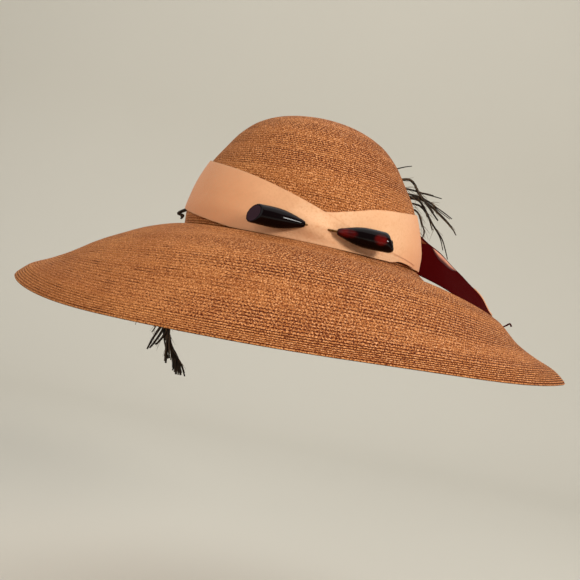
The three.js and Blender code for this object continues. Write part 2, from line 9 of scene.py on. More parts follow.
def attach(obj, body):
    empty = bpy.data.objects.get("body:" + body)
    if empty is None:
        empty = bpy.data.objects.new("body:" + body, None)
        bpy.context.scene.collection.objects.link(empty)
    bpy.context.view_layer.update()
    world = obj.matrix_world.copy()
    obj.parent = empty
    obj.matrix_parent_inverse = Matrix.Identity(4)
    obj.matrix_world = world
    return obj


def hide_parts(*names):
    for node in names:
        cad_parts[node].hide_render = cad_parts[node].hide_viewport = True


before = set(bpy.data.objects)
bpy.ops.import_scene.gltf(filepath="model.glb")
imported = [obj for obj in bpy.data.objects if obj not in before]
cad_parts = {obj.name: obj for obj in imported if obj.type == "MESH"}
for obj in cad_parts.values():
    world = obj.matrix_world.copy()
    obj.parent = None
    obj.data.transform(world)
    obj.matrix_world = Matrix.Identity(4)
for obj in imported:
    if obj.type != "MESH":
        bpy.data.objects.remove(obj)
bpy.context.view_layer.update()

bl_info = {
    "name": "Wide-brim straw hat",
    "version": (1, 0, 0),
    "blender": (4, 5, 0),
    "location": "View3D > Sidebar > Hat",
    "description": "Sewn straw hat with a crossed ribbon band, a double-ended pin, a ribbon tail and a plume",
    "category": "Add Mesh",
}

MM = 0.001
BODY = "root"

# All tables are in millimetres and degrees, as in the part's source


def table(columns, *rows):
    """Named columns of a short table."""
    return dict(zip(columns.split(), np.array(rows, float).T))


GAP = 0.3
STRAW_WALL = 1.8
HEAD_HALF_WIDTH = 84.5
DEPTH_TO_WIDTH = 1.128
HEAD_HALF_DEPTH = HEAD_HALF_WIDTH * DEPTH_TO_WIDTH
CROWN_LEAN = -0.03
BRIM_HALF_WIDTH = 192.5
BRIM_HALF_DEPTH = 200
BRIM_SHIFT_RIGHT = 4.1
BRIM_WAVE = -4.2
LAP_HEIGHT = 8
LAP_WALL = 1.4
BRIM_LENGTH = 124
RIM_DIP = 2
RIM_REACH = 1.004
RIBBON_WIDTH = 38.0

CROWN_OUTLINE = table(
    "height half_width",
    (0.02, 84.5), (10, 84.6), (22, 82.4), (35, 78.4), (47.5, 73), (59, 65.8),
    (71, 57.5), (81, 47), (88, 33), (92, 17), (93.5, 0),
)
BRIM_DROOP = table(
    "reach left right back front",
    (0, 0, 0, 0, 0), (0.12, -3.2, -8.8, -1.5, -3.5), (0.25, -8.3, -11.3, -5.3, -7),
    (0.4, -16.6, -17.2, -6.9, -13), (0.55, -25.4, -23.4, -14, -22.5), (0.7, -35.5, -36.8, -28.2, -34),
    (0.82, -42.2, -43, -42.5, -44.5), (0.92, -47, -47.2, -53.4, -53),
    (0.965, -50.8, -50.5, -58.4, -57), (1, -54.3, -54, -61.5, -60.5),
)
BAND_COURSE = table(
    "angle low high lift",
    (250, 3, 21.5, 0.6), (263, 1.4, 20.5, 0.6), (277, 0.9, 21, 0.6), (289, 0.9, 25, 0.6),
    (303, 0.9, 30.8, 0.6), (313, 0.9, 33.2, 0.6), (319, 3.4, 34.2, 0.6), (326, 3.2, 35.6, 0.6),
    (333, 1.6, 36.8, 0.6), (352, 2, 39.8, 0.6),
    (390, 3, 41, 0.6), (420, 5, 42.8, 0.6), (450, 8.5, 46, 0.6), (480, 11.5, 48.7, 0.6),
    (510, 13.5, 50, 0.6), (540, 13.4, 49.4, 0.6), (547, 12.6, 48.4, 0.65), (567, 8.2, 44.4, 1),
    (590, 3, 39.4, 1.75), (601, 1.1, 36.4, 2.15), (614, 0.9, 31.8, 2.15), (626, 0.9, 26.6, 2.15),
    (637, 0.9, 21.2, 2.15), (649, 0.9, 15, 2.15), (662, 0.9, 9.2, 2.15), (672, 1.2, 6.4, 2.15),
    (679, 3, 5.2, 2.15), (686, 2.6, 4, 2.15), (692, 1.6, 2.6, 2.15),
)
# Where the band is gathered: angle, spread and strength
BAND_GATHERS = ((640, 17, 1.0), (283, 10, 0.5))
# Between these angles the upper edge of the top turn comes off the turn below
BAND_EDGE_OFF = (590, 612)
# The ribbon reaches lower than the table's edge and stands further off the straw
BAND_BELOW = 1.0
BAND_OFF = 0.45
CROSSING = {"angle": 633.4, "half_angle": 12.5, "height": 10.5, "half_height": 10.5, "rise": 4.5}

PIN = {"tip": (0.2, -102.6, 10), "turn": 8.5, "gap": 21}
# The ground end of each head: it slants up, turns to the back of the hat, and has a round edge
PIN_ENDS = {
    "left": {"length": 32, "slant": 15, "turn": 31, "round": 0.5},
    "right": {"length": 35.6, "slant": 18, "turn": 8, "round": 4.2},
}
PIN_OUTLINE = table(
    "along radius",
    (0, 1.7), (0.6, 2.1), (6, 3.9), (11, 5.3), (15.5, 6.1), (20, 6.4), (28, 6.3), (42, 5.8),
)

WRAP = {"start": 34, "end": 50, "low": 2.2, "high": 44.5, "lift": 4, "thickness": 4.2, "edge": 1.1,
        "waist": 0.8}
TAIL_ROOT = {"angles": (45, 30), "low": 4, "high": 37, "lift": 2.9}
TAIL_COURSE = table(
    "near_x near_y near_z far_x far_y far_z bow",
    (87.5, 40, 2.8, 84, 50, 34.5, 1.6), (99, 36, 0.2, 98, 61, 28.6, 0.8),
    (111, 34, -3.4, 112, 63, 21.5, 0.4), (123, 33, -8.6, 124, 65, 12.3, 0.4),
    (135, 33, -15.5, 136.4, 67, 4.6, 0.8), (147, 33, -22, 148.6, 68, -4, 1),
    (158, 33, -28.6, 157.6, 68, -15, 1), (167, 32, -32.6, 165, 67, -25, 0.6),
)
# Lips of the tail's upper edge that turn over and show the other face
TAIL_INNER_LIP = table("along drop", (0.1, 6), (0.15, 4), (0.19, 2), (0.215, 0.4))
TAIL_LIP = table(
    "along drop",
    (0.275, 1.2), (0.3, 5), (0.34, 8), (0.4, 7.4), (0.445, 5), (0.485, 0.6),
)
TAIL_END_LIP = table("along drop", (0.66, 0.2), (0.72, 0.7), (0.8, 0.9), (0.88, 0.5))
STRAY_THREAD = ((164, 67, -25.5), (167.7, 67, -23.3), (171.2, 67, -20.8), (173.6, 67, -19), (175.2, 67, -21))

QUILL_COURSE = table(
    "x y z radius",
    (72, 53, 26, 1.6), (66.6, 59, 30, 1.7), (56, 68.5, 36, 1.8), (39.6, 79.2, 41, 1.8),
    (12.6, 88.8, 44, 1.8), (-15.4, 89.8, 42, 1.8), (-41, 84.5, 33, 1.7), (-62.5, 79, 18, 1.7),
    (-77, 96, 0, 1.6), (-88, 122, -16, 1.5), (-98, 148, -31, 1.4), (-106, 168, -47, 1.3),
    (-111, 181, -66, 1.2), (-108, 186, -90, 1), (-99, 185, -112, 0.8),
)
STEM_COURSE = table(
    "x y z radius",
    (62, 63.5, 33, 1.5), (66, 70, 45, 1.4), (66, 70, 60, 1.2), (61, 63, 73, 1),
)
# Barbs along the quill's middle part; "lock" of them draw together at their tips. Those that would
# stick out beside the crown, with tips further left than "left" and higher than "above", are shorter
VANE = {"start": 0.21, "end": 0.75, "length": 34, "sweep": 26, "droop": 5, "clearance": 2.6, "lock": 9,
        "left": -76, "above": -2}
STEM_FOOT = (62.5, 65.5)


def strand(depth, width, twigs, *route):
    """A strand of the plume at one depth: (x, z) places from its root to its tip."""
    return {"depth": depth, "width": width, "twigs": twigs, "route": route}


# Strands that show beside the crown
RIGHT_STRANDS = (
    strand(56, 2.5, 3, (62, 71), (71, 74.5), (76.5, 71.5), (80.4, 66.4), (91.8, 56.1), (100.7, 47.6)),
    strand(56, 2.0, 2, (64, 66), (71.1, 67.2), (85.3, 65.9), (99.4, 65)),
    strand(57, 2.1, 2, (64, 62), (84.8, 62.6), (97.7, 57.4), (110.5, 51.4)),
    strand(57, 2.2, 3, (66, 60), (83.1, 61.5), (102.9, 50.9), (113.2, 43.3), (116.6, 39.8)),
    strand(58, 2.5, 3, (66, 57), (80.9, 60.5), (90, 52.9), (97.6, 39.5)),
    strand(58, 2.0, 3, (66, 54), (84, 56.5), (96.6, 44.3), (105.3, 35), (109.5, 27.5), (113.2, 20.2)),
    strand(59, 2.1, 3, (66, 50), (81.9, 52.2), (89, 42.5), (91.8, 37), (90.5, 31.9)),
    strand(57, 1.3, 1, (55, 78), (60.5, 81), (66, 83.4), (71.2, 85.2)),
    strand(59, 1.2, 2, (66, 46), (76, 48), (84.5, 40), (88.5, 30), (87, 25)),
)
# Strands that hang below the rim at the front left, and one curl beside the crown
LEFT_STRANDS = (
    strand(178, 3.5, 3, (-110.5, -60), (-110, -68), (-109.6, -79.7), (-112.5, -87.8),
           (-116.1, -96.9), (-118.6, -106.7)),
    strand(179, 3.2, 3, (-110.6, -64), (-108.5, -72), (-107, -79.2), (-109.4, -89.9),
           (-113, -99.1), (-115.9, -105.3)),
    strand(180, 3.2, 3, (-110.8, -66), (-107, -73), (-105.4, -78.9), (-105.9, -89.2),
           (-109.8, -97.5), (-112.8, -100.9)),
    strand(176, 1.8, 2, (-110.5, -58), (-112.5, -68), (-114.1, -78.8), (-115.6, -84.7), (-118, -90.8)),
    strand(181, 3.8, 4, (-110.8, -68), (-107, -73), (-105, -78.8), (-102.9, -93.3),
           (-101.5, -104.2), (-100.2, -116)),
    strand(180, 3.2, 3, (-110.4, -70), (-106.5, -75), (-103.9, -81.4), (-100.4, -99.2), (-97.4, -111.6)),
    strand(182, 3.2, 3, (-110, -74), (-106, -82), (-102.2, -90.4), (-97.1, -103.3),
           (-94.9, -110.3), (-93.4, -119.3)),
    strand(182, 4.1, 4, (-109.2, -80), (-105, -88), (-101.3, -94.8), (-94, -107.3),
           (-89.6, -116.6), (-88.3, -124)),
    strand(183, 4.1, 4, (-108.5, -86), (-103.5, -93), (-99.6, -99.2), (-90.8, -109.5),
           (-86.7, -117.9), (-84.6, -124)),
    strand(184, 2.7, 3, (-107.5, -91), (-101, -98.5), (-95.7, -104.9), (-86.2, -114.1), (-80.4, -124.5)),
    strand(176, 0.9, 1, (-109, -52), (-119, -57), (-128.5, -67), (-132.9, -80), (-133.6, -87.5)),
)
CURL = strand(44, 2.8, 3, (-84, 19), (-92.8, 14.1), (-97.7, 10.6), (-93.5, 9.9), (-94.8, 6.8))


# Sizes, colours and light that a user may change


def length_property(name, description, default):
    return FloatProperty(name=name, description=description, default=default, unit="LENGTH")


def power_property(name, description, default):
    return FloatProperty(name=name, description=description, default=default, unit="POWER")


def count_property(name, description, default, least):
    return IntProperty(name=name, description=description, default=default, min=least)


def colour_property(name, description, *default):
    return FloatVectorProperty(name=name, description=description, default=default, subtype="COLOR")


class HatSizes(bpy.types.PropertyGroup):
    row_pitch: length_property("Row pitch", "Distance between two sewn rows of the crown", 1.8 * MM)
    brim_row_pitch: length_property("Brim row pitch", "Distance between two sewn rows of the brim", 2.0 * MM)
    plait_pitch: length_property("Plait pitch", "Length of one plait along a row of braid", 2.3 * MM)
    ridge: length_property("Ridge", "How far the middle of a row stands above its edges", 0.2 * MM)
    edge_row_pitch: length_property("Edge row pitch", "Distance between two firm rows at the rim", 1.4 * MM)
    edge_ridge: length_property(
        "Edge ridge", "How far the middle of a firm row stands above its edges", 0.5 * MM)
    edge_rows: count_property("Edge rows", "Firm rows at the rim", 6, 0)
    brim_steps: count_property("Steps round the brim", "Faces in one row of the brim", 280, 24)
    crown_steps: count_property("Steps round the crown", "Faces in one row of the crown", 250, 24)
    ribbon: length_property("Ribbon thickness", "Thickness of the ribbon", 0.55 * MM)
    barb_sides: count_property("Barb sides", "Faces round one barb of the plume", 4, 3)
    barbs: count_property("Barbs", "Barbs on each side of the quill", 210, 10)


class HatColours(bpy.types.PropertyGroup):
    straw_light: colour_property("Light straw", "Raised plaits", 0.78, 0.315, 0.095)
    # Painted highlights on the straw
    straw_painted_glint: colour_property("Straw, painted glint", "Painted glints on the straw", 0.95, 0.62, 0.42)
    straw: colour_property("Straw", "Main colour of the braid", 0.35, 0.102, 0.023)
    # Also used for the painted shade in the row valleys
    straw_dark: colour_property("Dark straw", "Gaps between the plaits", 0.075, 0.009, 0.001)
    ribbon: colour_property("Ribbon", "Peach face of the ribbon", 0.8, 0.475, 0.255)
    ribbon_dark: colour_property("Ribbon, dark face", "Other face of the ribbon", 0.048, 0.0003, 0.0006)
    feather: colour_property("Feather", "Barbs of the plume", 0.0045, 0.003, 0.002)
    feather_brown: colour_property("Feather, brown", "Thin barbs of the plume", 0.15, 0.095, 0.05)
    pin: colour_property("Pin head", "Body of the pin's heads", 0.0025, 0.0005, 0.0006)
    # Painted light coming through the heads, which also glows by emission
    pin_red_painted_glow: colour_property("Pin head, red", "Translucent zones of the pin's heads", 0.13, 0.003, 0.002)
    brass: colour_property("Brass", "Wire of the pin", 0.25, 0.13, 0.04)
    floor: colour_property("Floor", "Floor and backdrop", 0.62, 0.585, 0.5)


class HatStage(bpy.types.PropertyGroup):
    floor_height: length_property("Floor height", "Height of the floor from the head opening", -0.3)
    key_power: power_property("Key light", "Power of the key light", 30)
    fill_power: power_property("Fill light", "Power of the fill light", 24)
    top_power: power_property("Top light", "Power of the top light", 32)
    sky: FloatProperty(name="Sky", description="Strength of the even light from all round", default=0.24)


# Node trees written as sums


class Value:
    """A socket of a node tree that takes part in Python sums."""

    def __init__(self, tree, socket):
        self.tree = tree
        self.socket = socket

    def math(self, operation, *others):
        return math_node(self.tree, operation, self, *others)

    def __add__(self, other):
        return self.math("ADD", other)

    def __sub__(self, other):
        return self.math("SUBTRACT", other)

    def __mul__(self, other):
        return self.math("MULTIPLY", other)

    def __truediv__(self, other):
        return self.math("DIVIDE", other)

    def __pow__(self, other):
        return self.math("POWER", other)

    def __rsub__(self, other):
        return math_node(self.tree, "SUBTRACT", other, self)

    __radd__ = __add__
    __rmul__ = __mul__


def set_entry(tree, entry, value):
    """Links a value to a socket, or sets the socket to a number or colour."""
    if isinstance(value, Value):
        tree.links.new(value.socket, entry)
    elif entry.type == "RGBA" and len(value) == 3:
        entry.default_value = (*value, 1)
    else:
        entry.default_value = value


def math_node(tree, operation, *values):
    node = tree.nodes.new("ShaderNodeMath")
    node.operation = operation
    for entry, value in zip(node.inputs, values):
        set_entry(tree, entry, value)
    return Value(tree, node.outputs[0])


class Graph:
    """A node tree, with one method that adds any node."""

    def __init__(self, tree):
        self.tree = tree

    def node(self, kind, values=None, out=0, **settings):
        node = self.tree.nodes.new(kind)
        for name, setting in settings.items():
            setattr(node, name, setting)
        for name, value in (values or {}).items():
            set_entry(self.tree, node.inputs[name], value)
        if out is None:
            return [Value(self.tree, socket) for socket in node.outputs]
        return Value(self.tree, node.outputs[out])

    def between(self, value, low, high):
        """0 below low, 1 above high, smooth between them."""
        return self.node(
            "ShaderNodeMapRange", {"Value": value, "From Min": low, "From Max": high},
            interpolation_type="SMOOTHSTEP")

    def mix(self, share, first, second):
        """A colour between two colours."""
        return self.node("ShaderNodeMix", {0: share, 6: first, 7: second}, out=2, data_type="RGBA")

    def noise(self, place, scale, detail=2.0, roughness=0.5):
        return self.node(
            "ShaderNodeTexNoise",
            {"Vector": place, "Scale": scale, "Detail": detail, "Roughness": roughness})

    def attribute(self, name):
        return self.node("GeometryNodeInputNamedAttribute", {"Name": name}, data_type="FLOAT")

    def place(self, x, y):
        return self.node("ShaderNodeCombineXYZ", {0: x, 1: y})

    def random(self, x, y):
        """A number from 0 to 1 that is the same for the same x and y."""
        return self.node("ShaderNodeTexWhiteNoise", {"Vector": self.place(x, y)}, noise_dimensions="3D")

    def times(self, place, factors):
        return self.node("ShaderNodeVectorMath", {0: place, 1: factors}, operation="MULTIPLY")


class Surface(Graph):
    """A material with one Principled shader."""

    def __init__(self, name):
        self.material = bpy.data.materials.new(name)
        self.material.use_nodes = True
        super().__init__(self.material.node_tree)
        self.shader = self.tree.nodes["Principled BSDF"]
        self.here = self.node("ShaderNodeTexCoord", out=3)

    def uv(self, name):
        place = self.node("ShaderNodeUVMap", uv_map=name)
        return self.node("ShaderNodeSeparateXYZ", {0: place}, out=None)[:2]

    def to_the_right(self):
        """Place across the hat in metres, from the wearer's left to right."""
        return self.node("ShaderNodeSeparateXYZ", {0: self.here})

    def bump(self, height, distance, strength):
        return self.node("ShaderNodeBump", {"Height": height, "Distance": distance, "Strength": strength})

    def done(self, colour, roughness, specular, **others):
        """Sets the shader's values; further ones are named like its sockets, with _ for a space."""
        values = {"Base Color": colour, "Roughness": roughness, "Specular IOR Level": specular}
        values.update((name.replace("_", " ").title(), value) for name, value in others.items())
        for name, value in values.items():
            set_entry(self.tree, self.shader.inputs[name], value)
        return self.material


# The sine of one plait's straws, in radians along a plait and across a row, and the ribbon's weave in mm
PLAIT_PHASE = 9.425
STRAW_SLANT = 3.6
RIB_PITCH = 0.85
THREAD_PITCH = 0.6


def plait_dots(s, along, row, long, high, seed):
    """Dark gaps between plaits, one for each plait of a row, some deep and some faint."""
    row_id = row.math("FLOOR")
    plait = along + row_id * 0.5 + s.random(row_id, seed) * 0.2
    plait_id = plait.math("FLOOR")
    chance = s.random(plait_id, row_id + seed)
    aside = (plait.math("FRACT") - 0.5 + (chance - 0.5) * 0.22) / long
    above = (row.math("FRACT") - 0.5) / high
    far = (aside * aside + above * above).math("SQRT")
    return (1 - s.between(far, 0.45, 1.1)) * (0.45 + s.between(chance, 0.1, 0.8) * 0.55)


def straw_material(name, colours, firm_row):
    """Plaited straw: u counts the plaits along a row, v counts the rows. Rows from firm_row on are firm."""
    s = Surface(name)
    along, row = s.uv("rows")
    row_id = row.math("FLOOR")
    in_row = row.math("FRACT")
    from_edge = 0.5 - (in_row - 0.5).math("ABSOLUTE")
    firm = s.between(row, firm_row - 0.4, firm_row + 0.1)
    valley = 1 - s.between(from_edge, 0.0, 0.3)

    # The plait's straws slant to both sides and leave gaps between rows and small pits in them
    right, left = (
        (along * PLAIT_PHASE + in_row * slant).math("SINE").math("ABSOLUTE")
        for slant in (STRAW_SLANT, -STRAW_SLANT))
    strands = right.math("MAXIMUM", left * 0.7)
    gaps = plait_dots(s, along, row + 0.5, long=0.36, high=0.3, seed=3.7)
    pits = plait_dots(s, along * 1.37, row, long=0.2, high=0.3, seed=8.3)

    # Some rows are worked more openly than others, and all the marks, the painted glints among them, grow
    # stronger towards the right of the hat
    side = s.between(s.to_the_right(), -0.1, 0.06)
    band = s.noise(s.place(along * 0.008, row_id * 0.15 + 4.2), 1.0, 1)
    zone = (0.14 + s.between(band, 0.42, 0.58) * 0.86) * (0.25 + side * 0.75)
    worn = s.noise(s.here, 24, 3)
    speck = s.noise(s.here, 1250, 1)
    streak = s.noise(s.place(along * 0.07, row_id * 3.1), 1.0, 1)
    seam = valley * s.between(streak, 0.64, 0.69)
    # The glints are painted highlights on the straws, brighter towards the right of the hat
    painted_glint = s.between(speck, 0.56, 0.7) * strands
    row_tone = s.random(row_id, 11.3) - 0.5

    grain = (speck - 0.5) * (1.6 + zone * 1.2 + side * 0.7)
    light = (0.22 + strands * 0.26 + grain + (worn - 0.5) * 0.5 + row_tone * 0.12
             + painted_glint * (0.25 + side * 0.6) + firm * 0.1)
    colour = s.mix(s.between(light, 0.0, 1.2), colours.straw, colours.straw_light)
    colour = s.mix(painted_glint * (0.08 + side * 0.32), colour, colours.straw_painted_glint)
    dots = (gaps * (0.1 + zone + side * 0.22) + pits * (0.2 + side * 0.16)) * (1 - firm * 0.45)
    # The row valleys are darkened, painted shade, most of all between the firm rows at the rim; the seam
    # lines along some of them are dark joints
    valley_shade_and_seams = valley * (0.04 + zone * 0.55 + side * 0.12 + firm * (0.42 + side * 0.5)) + seam * 0.75
    flecks = (1 - s.between(speck, 0.32, 0.5)) * (0.36 + zone * 0.3 + side * 0.2)
    dark = dots + valley_shade_and_seams + (1 - strands) * 0.17 + flecks
    colour = s.mix(dark.math("MINIMUM", 0.97), colour, colours.straw_dark)
    height = strands * 0.35 + speck * 0.5 - valley * 0.4 - gaps * 0.6 - pits * 0.35 - seam * 0.3
    roughness = 0.6 + valley * 0.15 - painted_glint * 0.25
    return s.done(colour, roughness, 0.09, normal=s.bump(height, 0.45 * MM, 1.0))


def tinted(colour, *factors):
    """A colour with each channel multiplied by its own factor."""
    return tuple(channel * factor for channel, factor in zip(colour, factors))


def ribbon_material(name, colour, width, sheen=0.2, gloss=0.25, fade=None):
    """Ribbed ribbon: u and v are the millimetres along and across it. It may fade to another colour."""
    s = Surface(name)
    along, across = s.uv("weave")
    ribs, threads = (
        (place * (2 * math.pi / pitch)).math("SINE")
        for place, pitch in ((along, RIB_PITCH), (across, THREAD_PITCH)))
    edge = s.between((across - width / 2).math("ABSOLUTE"), width / 2 - 1.1, width / 2 - 0.2)
    cloud = s.noise(s.here, 35, 3, 0.55)
    fibre = s.noise(s.here, 640, 1)
    soft = s.noise(s.here, 90, 2)
    deep = tinted(colour, 0.84, 0.68, 0.58)
    pale = tuple(min(1, channel) for channel in tinted(colour, 1.05, 1.16, 1.26))
    face = s.mix(0.4 + (cloud - 0.5) * 0.9, deep, pale)

    # The ribbon is painted darker and more orange at the left and at its right limb: painted shade where it
    # turns away from the light
    x = s.to_the_right()
    tan = (1 - s.between(x, -0.095, 0.035)) * 0.95 + s.between(x, 0.055, 0.084) * 0.75
    face = s.mix(tan, face, tinted(colour, 0.88, 0.58, 0.42))
    shade = 0.3 * ribs.math("MAXIMUM", 0) + edge * 0.85 + (fibre - 0.5) * 2.4
    face = s.mix(shade.math("MAXIMUM", 0).math("MINIMUM", 1), face, deep)
    if fade:
        start, stop, other = fade
        face = s.mix(s.between(across, start, stop), face, other)
    height = ribs * 0.35 + threads * 0.12 + fibre * 0.25 - edge * 0.6 + soft * 3.4
    return s.done(face, 0.56 + (1 - cloud) * 0.16, gloss, sheen_weight=sheen, sheen_roughness=0.4,
                  normal=s.bump(height, 0.16 * MM, 0.8))


def feather_material(colours):
    """Barbs, browner where the tone attribute is high."""
    s = Surface("feather")
    tone = s.node("ShaderNodeAttribute", out=2, attribute_name="tone")
    grain = s.noise(s.times(s.here, (700, 700, 120)), 1.0, 2)
    colour = s.mix((tone + (grain - 0.5) * 0.6).math("MINIMUM", 1).math("MAXIMUM", 0),
                   colours.feather, colours.feather_brown)
    return s.done(colour, 0.5 + grain * 0.25, 0.16, normal=s.bump(grain, 0.15 * MM, 0.5))


def pin_material(name, colours, glow):
    """Polished dark red resin, with redder zones painted where light comes through, which glow by emission.
    """
    s = Surface(name)
    along, height = s.uv("along")
    cloud = s.noise(s.here, 150, 2)
    patchy = s.between(cloud, 0.05, 0.6)

    def spot(centre, middle, long, high):
        """A soft oval zone, in millimetres along and up the head."""
        far = ((along - centre) / long) ** 2 + ((height - middle) / high) ** 2
        return (1 - s.between(far, 0, 1.7)) ** 1.6

    # The red zones are painted light coming through the resin, and they glow by emission
    zone = (spot(5.5, 0.3, 6, 3) * 0.6 + spot(26.5, 0.4, 4.2, 3.4) * 0.8) * patchy * glow
    colour = s.mix(zone, colours.pin, colours.pin_red_painted_glow)
    return s.done(
        colour, 0.07 + cloud * 0.05, 0.12, coat_weight=0.02, coat_roughness=0.04, emission_strength=0.22,
        emission_color=s.mix(zone, (0, 0, 0), colours.pin_red_painted_glow), normal=s.bump(cloud, 0.05 * MM, 0.2))


def pin_face_material():
    """Flat ground end of a head, purplish and less polished."""
    s = Surface("pin_end_face")
    grind = s.noise(s.times(s.here, (260, 2200, 2200)), 1.0, 3)
    colour = s.mix(grind, (0.018, 0.004, 0.009), (0.036, 0.011, 0.019))
    return s.done(colour, 0.4 + grind * 0.2, 0.15, normal=s.bump(grind, 0.03 * MM, 0.3))


def brass_material(colours):
    s = Surface("brass_wire")
    tarnish = s.noise(s.here, 700, 3)
    dull = tinted(colours.brass, 0.35, 0.3, 0.3)
    colour = s.mix(s.between(tarnish, 0.4, 0.7), colours.brass, dull)
    return s.done(colour, 0.28 + tarnish * 0.3, 0.5, metallic=1.0, normal=s.bump(tarnish, 0.05 * MM, 0.4))


def plain_stage_material(colour):
    s = Surface("pale_floor")
    tone = s.noise(s.here, 1.5, 2)
    darker = tinted(colour, 0.95, 0.95, 0.95)
    return s.done(s.mix(tone, darker, colour), 0.85, 0.2)


# Reading the tables


def read(rows, key, at, column):
    """Smooth values of a column at places in the key column, with the slopes of a monotone cubic."""
    x = rows[key]
    y = rows[column]
    step = np.diff(x)
    rise = np.diff(y) / step
    both = rise[:-1] * rise[1:]
    total = np.where(both > 0, rise[:-1] + rise[1:], 1)
    inner = np.where(both > 0, 2 * both / total, 0)
    slope = np.concatenate([rise[:1], inner, rise[-1:]])
    at = np.clip(np.asarray(at, float), x[0], x[-1])
    i = np.clip(np.searchsorted(x, at, side="right") - 1, 0, len(x) - 2)
    t = (at - x[i]) / step[i]
    return ((2 * t**3 - 3 * t**2 + 1) * y[i] + (t**3 - 2 * t**2 + t) * step[i] * slope[i]
            + (3 * t**2 - 2 * t**3) * y[i + 1] + (t**3 - t**2) * step[i] * slope[i + 1])


def places(rows, columns="x y z"):
    return np.stack([rows[c] for c in columns.split()], axis=1)


def smooth_path(points, t):
    """Points of a centripetal Catmull-Rom curve at shares t of its spans."""
    points = np.asarray(points, float)
    wide = np.vstack([2 * points[0] - points[1], points, 2 * points[-1] - points[-2]])
    at = np.clip(np.asarray(t, float), 0, 1) * (len(points) - 1)
    i = np.minimum(at.astype(int), len(points) - 2)
    w = (at - i)[:, None]
    p0, p1, p2, p3 = (wide[i + k] for k in range(4))
    d0, d1, d2 = (np.sqrt(np.linalg.norm(b - a, axis=1))[:, None] for a, b in ((p0, p1), (p1, p2), (p2, p3)))
    m1 = ((p1 - p0) / d0 - (p2 - p0) / (d0 + d1) + (p2 - p1) / d1) * d1
    m2 = ((p2 - p1) / d1 - (p3 - p1) / (d1 + d2) + (p3 - p2) / d2) * d1
    return p1 + m1 * w + (3 * (p2 - p1) - 2 * m1 - m2) * w**2 + (2 * (p1 - p2) + m1 + m2) * w**3


def unit(vectors):
    return vectors / np.maximum(np.linalg.norm(vectors, axis=-1, keepdims=True), 1e-9)


def step_between(low, high, x):
    t = np.clip((x - low) / (high - low), 0, 1)
    return t * t * (3 - 2 * t)


# Meshes


def add_object(name, data):
    found = bpy.data.objects.new(name, data)
    bpy.context.scene.collection.objects.link(found)
    return found


def points_at(x, y, z):
    return np.stack(np.broadcast_arrays(x, y, z), axis=-1)


def circle_angles(steps):
    return 2 * np.pi * np.arange(steps) / steps


def face_corners(values):
    """Values at the four corners of each face of a grid whose rows are closed rings."""
    near, far = values[:-1], values[1:]
    return np.stack([near, far, np.roll(far, -1, axis=1), np.roll(near, -1, axis=1)], axis=-1)


def pole_fans(rows, columns, order, uvs):
    """Triangles from the first and the last ring of a grid to its two poles, which follow its points."""
    fans = []
    for pole, ring in enumerate((0, rows - 1)):
        for j in range(columns):
            pair = (ring * columns + j, ring * columns + (j + 1) % columns)[::order if pole == 0 else -order]
            fans.append(((*pair, rows * columns + pole), uvs))
    return fans


def lattice(name, points, u, v, wrap_rows=False, wrap_columns=False, layer="rows", caps=(), poles=(),
            materials=()):
    """Quads between the rows of an array of points; u and v are the four corners of each face's UV.
    caps are further faces: corner numbers with their own UVs. poles are further points for them."""
    rows, columns = points.shape[:2]
    i = np.arange(rows if wrap_rows else rows - 1)[:, None]
    j = np.arange(columns if wrap_columns else columns - 1)[None, :]
    below = (i + 1) % rows
    beside = (j + 1) % columns
    quads = np.stack(np.broadcast_arrays(
        i * columns + j, below * columns + j, below * columns + beside, i * columns + beside), axis=-1)
    faces = quads.reshape(-1, 4).tolist() + [list(corners) for corners, _ in caps]
    uvs = np.stack(np.broadcast_arrays(u, v), axis=-1).reshape(-1, 2)
    uvs = np.vstack([uvs, *(np.array(corner_uvs, float) for _, corner_uvs in caps)])
    points = np.vstack([points.reshape(-1, 3), *(pole[None] for pole in poles)])
    mesh = bpy.data.meshes.new(name)
    mesh.from_pydata((points * MM).tolist(), [], faces)
    mesh.uv_layers.new(name=layer).data.foreach_set("uv", uvs.astype(np.float32).ravel())
    mesh.polygons.foreach_set("use_smooth", np.ones(len(mesh.polygons), bool))
    for material in materials:
        mesh.materials.append(material)
    mesh.update()
    return add_object(name, mesh)


def turn_outward(obj):
    """Turns all faces over if the closed mesh is inside out."""
    mesh = obj.data
    mesh.calc_loop_triangles()
    corners = np.empty(len(mesh.loop_triangles) * 3, np.int32)
    mesh.loop_triangles.foreach_get("vertices", corners)
    points = np.empty(len(mesh.vertices) * 3)
    mesh.vertices.foreach_get("co", points)
    a, b, c = points.reshape(-1, 3)[corners.reshape(-1, 3)].transpose(1, 0, 2)
    if (a * np.cross(b, c)).sum() < 0:
        mesh.flip_normals()


def point_attribute(obj, name, values):
    attribute = obj.data.attributes.new(name, "FLOAT", "POINT")
    attribute.data.foreach_set("value", np.asarray(values, np.float32).ravel())


def with_nodes(obj, tree, values):
    """Replaces an object's mesh by what a Geometry Nodes tree makes of it."""
    name = obj.name
    modifier = obj.modifiers.new(tree.name, "NODES")
    modifier.node_group = tree
    sockets = {s.name: s.identifier for s in tree.interface.items_tree if s.in_out == "INPUT"}
    for title, value in values.items():
        modifier[sockets[title]] = value
    bpy.context.view_layer.update()
    seen = obj.evaluated_get(bpy.context.evaluated_depsgraph_get())
    mesh = bpy.data.meshes.new_from_object(seen)
    if not mesh.polygons:
        raise RuntimeError(f"{name}: the nodes made no faces")
    obj.modifiers.remove(modifier)
    old = obj.data
    obj.data = mesh
    bpy.data.meshes.remove(old)
    mesh.name = name
    return obj


